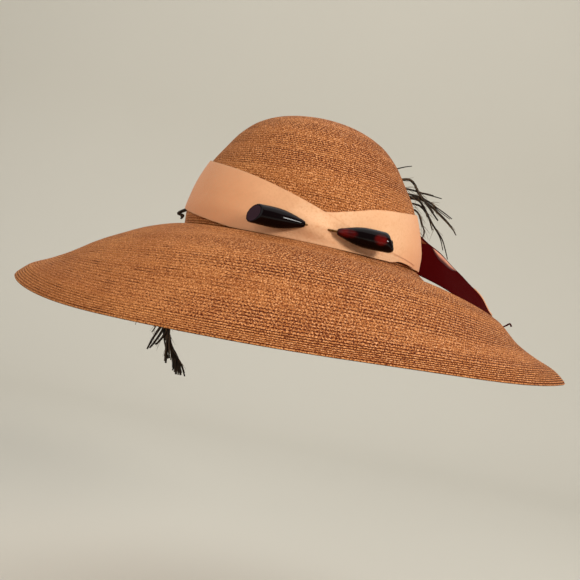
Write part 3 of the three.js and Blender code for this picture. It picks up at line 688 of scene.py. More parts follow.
def node_tree(name, inputs):
    """An empty Geometry Nodes tree with these inputs, as (graph, {title: Value}, end function)."""
    tree = bpy.data.node_groups.new(name, "GeometryNodeTree")
    tree.interface.new_socket("Geometry", in_out="INPUT", socket_type="NodeSocketGeometry")
    for title, kind in inputs.items():
        tree.interface.new_socket(title, in_out="INPUT", socket_type=f"NodeSocket{kind}")
    tree.interface.new_socket("Geometry", in_out="OUTPUT", socket_type="NodeSocketGeometry")
    graph = Graph(tree)
    start = tree.nodes.new("NodeGroupInput")
    entries = {socket.name: Value(tree, socket) for socket in start.outputs if socket.name}

    def end(geometry):
        real = graph.node("GeometryNodeRealizeInstances", {"Geometry": geometry})
        finished = graph.node("GeometryNodeSetMaterial", {"Geometry": real, "Material": entries["Material"]})
        tree.links.new(finished.socket, tree.nodes.new("NodeGroupOutput").inputs[0])
        return tree

    return graph, entries, end


def rows_tree():
    """Raises each sewn row of braid over a smooth wall: more at the rim, and a little unevenly."""
    graph, entry, end = node_tree("sewn_rows", {
        "Ridge": "Float", "Edge ridge": "Float", "First edge row": "Float", "Unevenness": "Float",
        "Material": "Material"})
    row, outer = graph.attribute("row"), graph.attribute("outer")
    arch = (row.math("FRACT") * math.pi).math("SINE").math("MAXIMUM", 0.0) ** 0.55
    firm = graph.node("ShaderNodeMapRange", {
        "Value": row, "From Min": entry["First edge row"] - 0.5, "From Max": entry["First edge row"] + 0.5})
    height = entry["Ridge"] + (entry["Edge ridge"] - entry["Ridge"]) * firm
    drift = graph.node("ShaderNodeTexNoise", {"Scale": 45.0, "Detail": 2.0}) - 0.5
    lift = ((arch - 0.6) * height + drift * entry["Unevenness"]) * outer
    normal = graph.node("GeometryNodeInputNormal")
    offset = graph.node("ShaderNodeVectorMath", {0: normal, "Scale": lift}, operation="SCALE")
    raised = graph.node("GeometryNodeSetPosition", {"Geometry": entry["Geometry"], "Offset": offset})
    return end(raised)


def strands_tree():
    """Turns lines into tapering closed strands: each line's own radius attribute is its thickness."""
    graph, entry, end = node_tree("strands", {"Sides": "Int", "Thickness": "Float", "Material": "Material"})
    radius = graph.attribute("radius")
    curve = graph.node("GeometryNodeMeshToCurve", {"Mesh": entry["Geometry"]})
    circle = graph.node("GeometryNodeCurvePrimitiveCircle", {"Resolution": entry["Sides"], "Radius": 1.0})
    tube = graph.node("GeometryNodeCurveToMesh", {
        "Curve": curve, "Profile Curve": circle, "Scale": radius * entry["Thickness"], "Fill Caps": True})
    smooth = graph.node("GeometryNodeSetShadeSmooth", {"Geometry": tube})
    return end(smooth)


def strands_object(name, lines, material, sides):
    """One piece of tapering strands; a line is (points, radii, tone)."""
    points = np.vstack([line[0] for line in lines])
    edges = []
    start = 0
    for line in lines:
        edges.extend((k, k + 1) for k in range(start, start + len(line[0]) - 1))
        start += len(line[0])
    mesh = bpy.data.meshes.new(name)
    mesh.from_pydata((points * MM).tolist(), edges, [])
    obj = add_object(name, mesh)
    point_attribute(obj, "radius", np.concatenate([line[1] for line in lines]))
    point_attribute(obj, "tone", np.concatenate([np.full(len(line[0]), line[2]) for line in lines]))
    return with_nodes(obj, strands_tree(), {"Sides": sides, "Thickness": MM, "Material": material})


def own_piece(obj, slot, *nodes):
    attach(obj, BODY)
    if nodes:
        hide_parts(*nodes)


# Straw crown and brim


def crown_half_width(height):
    return read(CROWN_OUTLINE, "height", height, "half_width")


def on_crown(angle, height, off):
    """Points off the crown's straw, at angles in degrees."""
    turn = np.radians(angle)
    wide = crown_half_width(height)
    x = (wide + off) * np.cos(turn) + CROWN_LEAN * height
    y = (wide * DEPTH_TO_WIDTH + off) * np.sin(turn)
    return points_at(x, y, height)


def crown_profile(count):
    """Evenly spaced points of the crown's outline, with their directions and the outline's length."""
    rough = smooth_path(places(CROWN_OUTLINE, "half_width height"), np.linspace(0, 1, 1200))
    lengths = np.concatenate([[0], np.cumsum(np.linalg.norm(np.diff(rough, axis=0), axis=1))])
    at = np.linspace(0, lengths[-1], count)
    points = np.stack([np.interp(at, lengths, rough[:, k]) for k in (0, 1)], axis=1)
    return points, unit(np.gradient(points, axis=0)), lengths[-1]


def row_marks(rows):
    """Places across the rows: the edges of each row and two places on its arch."""
    return np.append((np.arange(rows)[:, None] + np.array([0, 0.24, 0.76])).ravel(), rows)


def plait_counts(row, circumference, pitch):
    """Whole plaits in the row that each face lies in, so that the pattern meets itself."""
    around = np.array([circumference(k + 0.5) for k in range(int(row.max()) + 2)])
    return np.maximum(np.round(around / pitch), 6)[row.astype(int)]


def corner_uvs(marks, counts, steps):
    """UV corners of the faces between rings: plaits along, rows across."""
    share = np.arange(steps) / steps
    start = counts[:, None] * share[None, :]
    stop = counts[:, None] * (share[None, :] + 1 / steps)
    u = np.stack([start, start, stop, stop], axis=-1)
    near = np.broadcast_to(marks[:-1, None], start.shape)
    far = np.broadcast_to(marks[1:, None], start.shape)
    return u, np.stack([near, far, far, near], axis=-1)


def oval_length(half_width, half_depth):
    if half_width <= 0:
        return 0.0
    h = ((half_width - half_depth) / (half_width + half_depth)) ** 2
    return math.pi * (half_width + half_depth) * (1 + 3 * h / (10 + math.sqrt(4 - 3 * h)))


def sewn_straw(name, node, rings, marks, middle, circumference, row, outer, sizes, settings, **mesh):
    """A wall of straw through the rings, with its rows raised. marks are the rings' places across the rows,
    middle those of the faces between them, and row and outer the points' own values for the nodes."""
    u, v = corner_uvs(marks, plait_counts(middle, circumference, sizes.plait_pitch), rings.shape[1])
    wall = lattice(name, rings, u, v, wrap_columns=True, **mesh)
    point_attribute(wall, "row", row)
    point_attribute(wall, "outer", outer)
    turn_outward(wall)
    with_nodes(wall, rows_tree(), {"Ridge": sizes.ridge, **settings})
    own_piece(wall, "straw", node)


def make_crown(sizes, colours):
    steps = sizes.crown_steps
    fine_steps = 4000
    fine, heading, profile_length = crown_profile(fine_steps + 1)
    rows = round(profile_length * MM / sizes.row_pitch)
    angle = circle_angles(steps)

    def ring(marks, depth):
        """Rings at places across the rows, at a depth inside the straw's outer face."""
        k = np.clip(np.round(marks / rows * fine_steps).astype(int), 0, fine_steps)
        height = fine[k, 1] + depth * heading[k, 0]
        pull = depth * heading[k, 1]
        x = (fine[k, 0] - pull)[:, None] * np.cos(angle) + CROWN_LEAN * height[:, None]
        y = (fine[k, 0] * DEPTH_TO_WIDTH - pull)[:, None] * np.sin(angle)
        return points_at(x, y, height[:, None])

    marks = row_marks(rows)
    outer_marks = marks[marks < rows - 0.3][::-1]
    inner_marks = np.arange(0, rows - 0.5, 1.0)
    last_outer = len(outer_marks) - 1
    rings = np.concatenate([ring(outer_marks, 0), ring(inner_marks, STRAW_WALL)])
    rings[last_outer + 1, :, 2] = rings[last_outer, :, 2]
    all_marks = np.concatenate([outer_marks, inner_marks])
    middle = (all_marks[:-1] + all_marks[1:]) / 2
    middle[last_outer] = 0.5

    def circumference(row):
        wide = np.interp(row / rows, np.linspace(0, 1, fine_steps + 1), fine[:, 0])
        return oval_length(wide, wide * DEPTH_TO_WIDTH) * MM

    count = len(all_marks)
    top = CROWN_OUTLINE["height"][-1]
    poles = np.array([[CROWN_LEAN * top, 0, top], [CROWN_LEAN * top, 0, top - STRAW_WALL]])
    mark = rows - 0.5
    caps = pole_fans(count, steps, 1, [(0.2, mark), (0.3, mark), (0.25, mark + 0.4)])
    row = np.append(np.repeat(all_marks, steps), [rows, rows])
    outer = np.append(np.repeat(np.arange(count) <= last_outer, steps), [1, 0])
    # The crown has no firm rows: they would start beyond its last one
    beyond = rows + 8.0
    sewn_straw("straw_crown", "crown", rings, all_marks, middle, circumference, row, outer, sizes, {
        "Edge ridge": sizes.ridge, "First edge row": beyond, "Unevenness": 0.5 * MM,
        "Material": straw_material("crown_straw", colours, beyond)}, caps=caps, poles=poles)


def brim_height(reach, turn):
    """Height of the brim's upper face, at angles in radians."""
    side_share = np.cos(turn) ** 2
    left, right, back, front = (
        read(BRIM_DROOP, "reach", reach, column) for column in ("left", "right", "back", "front"))
    side = np.where(np.cos(turn) < 0, left, right)
    end = np.where(np.sin(turn) < 0, back, front)
    return (side * side_share + end * (1 - side_share) + BRIM_WAVE * reach**2 * np.sin(2 * turn)
            - RIM_DIP * reach**3 * np.sin(2 * turn) ** 4)


def brim_halves(reach):
    """Half of the brim's width and half of its depth, to the share of the way from crown to rim."""
    return (HEAD_HALF_WIDTH + (BRIM_HALF_WIDTH - HEAD_HALF_WIDTH) * reach,
            HEAD_HALF_DEPTH + (BRIM_HALF_DEPTH - HEAD_HALF_DEPTH) * reach)


def on_brim(reach, turn, height):
    wide, deep = brim_halves(reach)
    return points_at(wide * np.cos(turn) + BRIM_SHIFT_RIGHT * reach, deep * np.sin(turn), height)


def on_lap(turn, inset, height):
    x = (HEAD_HALF_WIDTH - inset) * np.cos(turn) + CROWN_LEAN * max(height, 0)
    return points_at(x, (HEAD_HALF_DEPTH - inset) * np.sin(turn), height)


def make_brim(sizes, colours):
    turn = circle_angles(sizes.brim_steps)
    firm = sizes.edge_rows
    soft = round((BRIM_LENGTH * MM - firm * sizes.edge_row_pitch) / sizes.brim_row_pitch)
    rows = soft + firm

    def from_crown(row):
        return np.minimum(row, soft) * sizes.brim_row_pitch + np.maximum(row - soft, 0) * sizes.edge_row_pitch

    def row_reach(row):
        return from_crown(row) / from_crown(rows)

    marks = row_marks(rows)
    reach = row_reach(marks)[:, None]
    top = on_brim(reach, turn, brim_height(reach, turn))
    under_marks = np.arange(rows, 0, -1.0)
    under_reach = row_reach(under_marks)[:, None]
    # The wall is measured square to the brim's slope
    half_step = 0.04
    run = 2 * half_step * (BRIM_HALF_WIDTH - HEAD_HALF_WIDTH)
    fall = (brim_height(under_reach - half_step, turn) - brim_height(under_reach + half_step, turn)) / run
    low = brim_height(under_reach, turn) - STRAW_WALL * 0.8 * np.hypot(1, fall)
    under = on_brim(under_reach, turn, low)
    rim = on_brim(np.array([[RIM_REACH]]), turn, (top[-1:, :, 2] + under[:1, :, 2]) / 2)
    lap_outer = STRAW_WALL + 2 * GAP
    lap_inner = lap_outer + LAP_WALL
    before = np.stack([on_lap(turn, lap_outer + GAP, LAP_HEIGHT), on_lap(turn, lap_outer, 0)])
    after = np.stack([
        on_brim(0, turn, -STRAW_WALL), on_lap(turn, lap_inner, -STRAW_WALL),
        on_lap(turn, lap_inner + GAP, LAP_HEIGHT)])
    rings = np.concatenate([before, top, rim, under, after])

    # The lap's rows follow those of the brim
    lap_low, lap_high = rows + 2.9, rows + 6
    all_marks = np.concatenate(
        [[lap_high, lap_low], marks, [rows + 0.5], under_marks, [0, lap_low, lap_high, lap_high]])
    middle = np.minimum((all_marks[:-1] + all_marks[1:]) / 2, rows + 5)

    def circumference(row):
        return oval_length(*brim_halves(row_reach(row) if row < rows + 1 else 0)) * MM

    outer = np.concatenate([[0, 0], np.ones(len(marks)), [0], np.zeros(len(under_marks) + 3)])
    outer[2:6] = (0, 0.2, 0.6, 0.9)
    row = np.concatenate([[0, 0], marks, [rows], under_marks, [0, 0, 0]])
    row, outer = (np.repeat(values, len(turn)) for values in (row, outer))
    sewn_straw("straw_brim", "brim", rings, all_marks, middle, circumference, row, outer, sizes, {
        "Edge ridge": sizes.edge_ridge, "First edge row": float(soft), "Unevenness": 0.6 * MM,
        "Material": straw_material("brim_straw", colours, float(soft))}, wrap_rows=True)


# Ribbons


def ribbon(name, inner, outer, along, across, materials):
    """Closed thin strip between two faces of points; along and across are its millimetres.
    A second material goes on its outer face."""
    count, wide = inner.shape[:2]
    around = 2 * wide
    loops = np.concatenate([inner, outer[:, ::-1]], axis=1)
    u = face_corners(np.broadcast_to(along[:, None], (count, around)))
    v = face_corners(np.broadcast_to(np.concatenate([across, across[::-1]]), (count, around)))
    caps = []
    for base, order, where in ((0, 1, along[0]), ((count - 1) * around, -1, along[-1])):
        for k in range(wide - 1):
            opposite = around - 1 - k
            corners = [base + k, base + k + 1, base + opposite - 1, base + opposite][::order]
            caps.append((corners, [(where, across[k])] * 4))
    strip = lattice(name, loops, u, v, wrap_columns=True, layer="weave", caps=caps, materials=materials)
    if len(materials) > 1:
        kinds = np.zeros((count - 1, around), np.int32)
        kinds[:, wide - 1:around - 1] = 1
        strip.data.polygons.foreach_set(
            "material_index", np.append(kinds.ravel(), np.zeros(len(caps), np.int32)))
    turn_outward(strip)
    strip.data.set_sharp_from_angle(angle=math.radians(50))
    return strip


def lengths_along(points):
    return np.concatenate([[0], np.cumsum(np.linalg.norm(np.diff(points, axis=0), axis=1))])


def crossing_rise(angle, height):
    across = np.minimum(1, np.abs(angle - CROSSING["angle"]) / CROSSING["half_angle"])
    up = np.minimum(1, np.abs(height - CROSSING["height"]) / CROSSING["half_height"])
    return CROSSING["rise"] * np.cos(across * np.pi / 2) ** 2 * np.cos(up * np.pi / 2) ** 2


def make_band(sizes, colours):
    long, wide = 430, 29
    angle = np.linspace(BAND_COURSE["angle"][0], BAND_COURSE["angle"][-1], long)[:, None]
    share = np.linspace(0, 1, wide)[None, :]
    low, high, lift = (read(BAND_COURSE, "angle", angle, column) for column in ("low", "high", "lift"))
    low = low - BAND_BELOW
    height = low + (high - low) * share
    lift = lift + BAND_OFF + crossing_rise(angle, height)
    # The ribbon is gathered where it crosses: soft pleats run along it and fade out to both sides
    middle = np.sin(np.pi * share)
    gathered = sum(
        strength * np.exp(-(((angle - at) / spread) ** 2)) for at, spread, strength in BAND_GATHERS)
    pleats = 0.22 * gathered * np.sin(share * 19 + 0.035 * angle) * middle
    slack = 0.14 * np.sin(np.radians(angle) * 9.3 + 5 * share) * np.sin(np.radians(angle) * 3.1)
    lift = lift + pleats + slack * middle
    # The edge of the upper turn stands off a little and throws a thin shadow on the turn below
    lift = lift + 0.7 * share**7 * step_between(*BAND_EDGE_OFF, angle)
    inner, outer = (on_crown(angle, height, lift + off) for off in (0, sizes.ribbon / MM))
    along = lengths_along(outer[:, wide // 2])
    width = RIBBON_WIDTH
    peach = ribbon_material("peach_ribbon", colours.ribbon, width)
    strip = ribbon("ribbon_band", inner, outer, along, np.linspace(0, width, wide), [peach])
    own_piece(strip, "ribbon", "hat_band")
    area = float(((high - low)[:, 0] * np.gradient(along)).sum()) * MM * MM


def make_wrap(sizes, colours):
    wide, tall = 41, 37
    angle = np.linspace(WRAP["start"], WRAP["end"], wide)[:, None]
    share = np.linspace(0, 1, tall)[None, :]
    side = np.abs((angle - WRAP["start"]) / (WRAP["end"] - WRAP["start"]) - 0.5) * 2
    height = WRAP["low"] + (WRAP["high"] - WRAP["low"]) * share
    full = WRAP["thickness"] + (WRAP["edge"] - WRAP["thickness"]) * side**3
    full = full * (1 - WRAP["waist"] * np.abs(share - 0.5) ** 2)
    folds = 0.35 * np.sin(angle * 1.9 + 0.6 * np.sin(share * 4)) * (1 - side**2)
    lift = WRAP["lift"] + full - sizes.ribbon / MM + folds - GAP
    # The wrap runs up and down the crown, so its length is measured across the band
    inner, outer = (on_crown(angle, height, lift + off).transpose(1, 0, 2) for off in (0, sizes.ribbon / MM))
    along = lengths_along(outer[:, wide // 2])
    across = np.linspace(0, 1, wide) * float(lengths_along(outer[tall // 2])[-1])
    peach = ribbon_material("peach_ribbon_wrap", colours.ribbon, float(across[-1]))
    strip = ribbon("ribbon_wrap", inner, outer, along, across, [peach])
    own_piece(strip, "ribbon", "ribbon_knot")


def tail_points(count, wide):
    """Middle surface of the tail, its normals and the share of each section along it."""
    share = np.linspace(0, 1, wide)[None, :, None]
    first, last = TAIL_ROOT["angles"]
    low, high, lift = (TAIL_ROOT[k] for k in ("low", "high", "lift"))
    root = on_crown(np.linspace(first, last, 9)[:-1, None], low + (high - low) * share[:, :, 0], lift)
    t = np.linspace(0, 1, count)
    near, far = (
        smooth_path(np.vstack([on_crown(last, start, lift), places(TAIL_COURSE, columns)]), t)
        for start, columns in ((low, "near_x near_y near_z"), (high, "far_x far_y far_z")))
    sections = len(TAIL_COURSE["bow"])
    bow = read({"section": np.arange(1.0, sections + 1), **TAIL_COURSE}, "section", t * sections, "bow")
    normal = unit(np.cross(far - near, unit(np.gradient(near, axis=0))))
    free = near[:, None] * (1 - share) + far[:, None] * share
    free = free + normal[:, None] * (4 * bow[:, None, None] * (share * (1 - share)))
    surface = np.concatenate([root, free])
    normals = unit(np.cross(np.gradient(surface, axis=1), np.gradient(surface, axis=0)))
    return surface, normals, np.concatenate([np.zeros(len(root)), t])


def make_tail(sizes, colours):
    count, wide = 120, 25
    surface, normal, t = tail_points(count, wide)
    share = np.linspace(0, 1, wide)[None, :]
    free = step_between(0.05, 0.3, t)[:, None]
    ripple = free * (0.5 * np.sin(t[:, None] * 15 + share * 2.4) * (share - 0.3)
                     + 0.3 * np.sin(t[:, None] * 31 + 1.3) * share**3)
    surface = surface + normal * ripple[:, :, None]
    half = sizes.ribbon / MM / 2
    along = lengths_along(surface[:, wide // 2])
    width = RIBBON_WIDTH
    peach = ribbon_material("peach_ribbon_tail", colours.ribbon, width)
    dark = ribbon_material("dark_ribbon", colours.ribbon_dark, width, sheen=0, gloss=0.01)
    strip = ribbon("ribbon_tail_end", surface - normal * half, surface + normal * half, along,
                   np.linspace(0, width, wide), [dark, peach])
    own_piece(strip, "ribbon_dark", "ribbon_tail")

    # The upper edge turns over towards the back of the hat and shows the peach face
    # The inner lip is a darkened copy of the peach face: painted shadow where it lies by the crown
    painted_shadow_peach = tinted(colours.ribbon, 0.2, 0.11, 0.07)
    pink = tinted(colours.ribbon, 0.95, 0.85, 1.1)
    # The middle lip fades to the dark face's colour towards its lower edge: painted shade of its curl
    peach_fading_to_painted_shade = ribbon_material("peach_ribbon_lip", pink, width, fade=(3, 8, colours.ribbon_dark))
    inside = ribbon_material("peach_ribbon_in_painted_shadow", painted_shadow_peach, width, sheen=0, gloss=0.05)
    lips = [
        tail_lip(name, rows, inset, surface, normal, t, material)
        for name, rows, inset, material in (
            ("ribbon_tail_inner_lip", TAIL_INNER_LIP, 2.8, inside),
            ("ribbon_tail_lip", TAIL_LIP, 1.8, peach_fading_to_painted_shade),
            ("ribbon_tail_end_lip", TAIL_END_LIP, 0.5, peach))]

    fray = strands_object("ribbon_tail_fray", cut_threads(surface), dark, 4)
    own_piece(fray, "ribbon_dark")


def tail_lip(name, rows, inset, surface, normal, t, material):
    """A turned-over lip inset below the tail's upper edge; t is each section's share along the tail."""
    first = int(np.argmax(t > 0)) - 1
    at = np.linspace(rows["along"][0], rows["along"][-1], 40)

    def along_tail(points):
        return np.stack([np.interp(at, t[first:], points[first:, k]) for k in range(3)], axis=1)

    # The way down is measured over the top seven faces across the tail
    edge = along_tail(surface[:, -1])
    outward = along_tail(normal[:, -1])
    if outward[:, 1].mean() > 0:
        outward = -outward
    down = unit(along_tail(surface[:, -8]) - edge)
    drop = read(rows, "along", at, "drop")
    turn = np.linspace(0, 1, 9)
    lip = (edge[:, None] + down[:, None] * (inset + drop[:, None] * turn)[:, :, None]
           + outward[:, None] * (0.42 + 0.5 * np.sin(np.pi * turn))[None, :, None])
    lip_normal = unit(np.cross(np.gradient(lip, axis=0), np.gradient(lip, axis=1)))
    half = lip_normal * 0.12
    strip = ribbon(name, lip - half, lip + half, lengths_along(lip[:, 0]), turn * 8 + 1, [material])
    own_piece(strip, "ribbon")
    return strip


def cut_threads(surface):
    """Lines of the loose threads at the tail's cut end, long at its upper corner, and of a stray one."""
    rng = np.random.default_rng(5)
    columns = np.arange(surface.shape[1])
    heading = unit(surface[-1] - surface[-6])
    count, long_ones = 26, 3
    threads = []
    for k in range(count):
        at = k / (count - 1) * columns[-1]
        root, way = (
            np.array([np.interp(at, columns, values[:, c]) for c in range(3)])
            for values in (surface[-1], heading))
        is_long = k >= count - long_ones
        long = 7.5 if is_long else rng.uniform(1.0, 3.0)
        stray = rng.normal(0, 0.35, 3) + np.array([0, 0, 0.55 * is_long])
        s = np.linspace(0, 1, 5)[:, None]
        points = root - way * 0.5 + way * long * s * 0.8 + stray * long * 0.5 * s**1.6
        threads.append((points, np.linspace(0.3, 0.16, 5), 0.0))
    threads.append((smooth_path(STRAY_THREAD, np.linspace(0, 1, 12)), np.linspace(0.5, 0.75, 12), 0.0))
    return threads


# Pin


def head_mesh(name, matrix, materials, end, way):
    """One head of the pin: turned round its axis, with its blunt end ground flat at a slant."""
    sides = 56
    profile = smooth_path(places(PIN_OUTLINE, "along radius"), np.linspace(0, 1, 110))
    along = np.concatenate([[-0.25, -0.15], profile[:, 0]])
    radius = np.concatenate([[0.9, 1.4], profile[:, 1]])
    angle = circle_angles(sides)
    x = radius[:, None] * np.cos(angle)
    z = radius[:, None] * np.sin(angle)
    y = np.broadcast_to(along[:, None], x.shape)
    slant, turn = (math.tan(math.radians(end[k])) for k in ("slant", "turn"))

    def ground(x, z):
        return end["length"] - slant * z + way * turn * x

    # The wall bends in over a round edge where it meets the ground face
    past = np.clip((y - ground(x, z)) / end["round"] + 1, 0, 1)
    squeeze = 1 - end["round"] / radius.max() * (1 - np.sqrt(1 - past**2))
    x, z = x * squeeze, z * squeeze
    rings = np.stack([x, np.minimum(y, ground(x, z)), z], axis=-1)
    rings = rings[:int(np.argmax((past >= 1).all(axis=1))) + 1]
    inner = rings[-1] * np.array([0.92, 1, 0.92])
    inner[:, 1] = ground(inner[:, 0], inner[:, 2])
    rings = np.concatenate([rings, inner[None]])
    poles = np.array([[0, -0.25, 0], [0, end["length"], 0]])
    fans = pole_fans(len(rings), sides, -1, [(0, 0)] * 3)
    u, v = (face_corners(rings[..., k]) for k in (1, 2))
    head = lattice(name, rings, u, v, wrap_columns=True, layer="along", caps=fans, poles=poles,
                   materials=materials)
    kinds = np.zeros(len(head.data.polygons), np.int32)
    kinds[-sides:] = 1
    head.data.polygons.foreach_set("material_index", kinds)
    head.data.transform(matrix)
    turn_outward(head)
    head.data.set_sharp_from_angle(angle=math.radians(35))
    return head


def make_pin(colours):
    place = Matrix.Translation(Vector(PIN["tip"]) * MM) @ Matrix.Rotation(math.radians(PIN["turn"]), 4, "Z")
    dark = pin_material("pin_resin", colours, 0.0)
    red = pin_material("pin_resin_red", colours, 1.0)
    for side, way, gap, materials in (
            ("left", 1, 0, (dark, pin_face_material())), ("right", -1, PIN["gap"], (red, red))):
        turn = Matrix.Translation((gap * MM, 0, 0)) @ Matrix.Rotation(math.radians(90 * way), 4, "Z")
        head = head_mesh(f"pin_end_{side}", place @ turn, materials, PIN_ENDS[side], way)
        own_piece(head, "pin_head", f"pin_head_{side}")
    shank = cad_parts["pin_shank"]
    shank.data.materials.clear()
    shank.data.materials.append(brass_material(colours))


# Plume


def keep_clear(points):
    """Moves points off the straw and the ribbon."""
    p = np.array(points, float)
    top = CROWN_OUTLINE["height"][-1]
    height = np.clip(p[:, 2], 0, top - 1.5)
    ribbon_face = 1.7
    wide = crown_half_width(height) + ribbon_face + VANE["clearance"]
    deep = crown_half_width(height) * DEPTH_TO_WIDTH + ribbon_face + VANE["clearance"]
    x = p[:, 0] - CROWN_LEAN * height
    size = np.hypot(x / wide, p[:, 1] / deep)
    inside = (size < 1) & (p[:, 2] < top - 0.5)
    p[inside, 0] = (x / size + CROWN_LEAN * height)[inside]
    p[inside, 1] = (p[:, 1] / size)[inside]
    turn = np.arctan2(p[:, 1] / BRIM_HALF_DEPTH, p[:, 0] / BRIM_HALF_WIDTH)
    start, stop = (np.linalg.norm(on_brim(r, turn, 0.0)[:, :2], axis=1) for r in (0, 1))
    reach = (np.hypot(p[:, 0], p[:, 1]) - start) / (stop - start)
    room = VANE["clearance"] + 4 * np.maximum(0, 1 - reach / 0.3)
    floor = brim_height(np.clip(reach, 0, 1), turn) + room
    p[:, 2] = np.where(reach < 1.04, np.maximum(p[:, 2], floor), p[:, 2])
    return p


def off_hat(point):
    """Direction off the hat: level on the crown, up on the brim, level past the rim."""
    out = unit(np.array([point[0], point[1], 0.0]))
    over_brim = step_between(-30, 0, -point[2]) * step_between(-66, -50, point[2])
    return unit(out * (1 - 0.85 * over_brim) + np.array([0, 0, 0.85 * over_brim]))


def tube_line(rows, count):
    points = smooth_path(places(rows), np.linspace(0, 1, count))
    radius = np.interp(np.linspace(0, 1, count), np.linspace(0, 1, len(rows["radius"])), rows["radius"])
    return points, radius * 0.85, 0.35


def vane_barbs(barbs, rng):
    """Barbs in locks on both sides of the quill: the tips of one lock draw together."""
    span = np.linspace(0, 1, 400)
    quill = smooth_path(places(QUILL_COURSE), span)
    heading = unit(np.gradient(quill, axis=0))
    length = lengths_along(quill)
    way = np.linspace(0, 1, 9)
    lines = []
    for side in (1, -1):
        for k in range(barbs):
            at = VANE["start"] + (VANE["end"] - VANE["start"]) * (k + rng.uniform(0, 0.8)) / barbs
            lock = (k // VANE["lock"] + 0.5) * VANE["lock"] / barbs
            lock_at = VANE["start"] + (VANE["end"] - VANE["start"]) * lock
            i = int(at * (len(span) - 1))
            root, tangent, off = quill[i], heading[i], off_hat(quill[i])
            across = unit(np.cross(tangent, off)) * side
            together = (np.interp(lock_at, span, length) - length[i]) * 0.75
            reach = VANE["length"] * (0.72 + 0.28 * math.sin(math.pi * at)) * rng.uniform(0.72, 1.04)
            curl = rng.normal(0, 1.2)
            points = (root + across * (reach * way)[:, None]
                      + tangent * (VANE["sweep"] * way**1.6 + together * way**1.5)[:, None]
                      + off * (rng.uniform(1, 3.6) * np.sin(math.pi * way) - VANE["droop"] * way**3
                               + curl * way**2)[:, None])
            if points[-1, 0] < VANE["left"] and points[-1, 2] > VANE["above"]:
                points = root + (points - root) * 0.6
            radius = rng.uniform(0.2, 0.34) * (1 - 0.75 * way**1.5) + 0.05
            lines.append((keep_clear(points), radius, rng.uniform(0, 0.9) ** 2))
    return lines


def strand_bundle(item, rng, down, root):
    """One strand of a few barbs stuck together, which part near the tip, with loose down at its root."""
    route = np.array([(x, item["depth"], z) for x, z in item["route"]], float)
    if root is not None:
        route = np.vstack([root, route])
    count = 4 * len(route)
    lines = []
    for k in range(item["twigs"]):
        leads = k == 0
        s = np.linspace(0, 1.0 if leads else rng.uniform(0.76, 0.97), count)
        part = rng.normal(0, 1, 3) * (0.3 if leads else 1.5)
        sway = np.sin(s * rng.uniform(5, 9) + k)[:, None] * rng.normal(0, 0.3, 3)
        points = smooth_path(route, s) + sway + part * (s**3)[:, None]
        radius = item["width"] * (0.5 - 0.26 * s**1.5) * (1 if leads else 0.6)
        lines.append((points, np.maximum(radius, 0.16), 0.1 if leads else rng.uniform(0.1, 0.5)))
    for _ in range(down):
        at = rng.uniform(0.12, 0.72)
        spot, ahead = smooth_path(route, [at, at + 0.04])
        heading = unit(unit(ahead - spot) + rng.normal(0, 0.28, 3))
        way = np.linspace(0, 1, 6)[:, None]
        long = rng.uniform(5, 11)
        points = spot + heading * long * way + np.array([0, 0, -0.9]) * way**2 * rng.uniform(0, 3)
        lines.append((points, np.linspace(0.24, 0.08, 6), rng.uniform(0.6, 1.2)))
    return lines


def make_plume(sizes, colours):
    rng = np.random.default_rng(11)
    lines = [tube_line(QUILL_COURSE, 60), tube_line(STEM_COURSE, 14)]
    lines += vane_barbs(sizes.barbs, rng)
    # Only strands of several twigs have down
    for items, down, from_stem in ((RIGHT_STRANDS, 18, True), (LEFT_STRANDS, 10, False), ((CURL,), 0, False)):
        for item in items:
            root = (*STEM_FOOT, item["route"][0][1] * 0.9) if from_stem else None
            lines += strand_bundle(item, rng, down * (item["twigs"] > 1), root)
    plume = strands_object("plume_barbs", lines, feather_material(colours), sizes.barb_sides)
    own_piece(plume, "feather", "plume")


# Stage


CAMERA = {"x": 5, "y": -680, "z": -39.05, "yaw": -0.515, "pitch": 0.781, "roll": 11.98, "lens": 58.64}


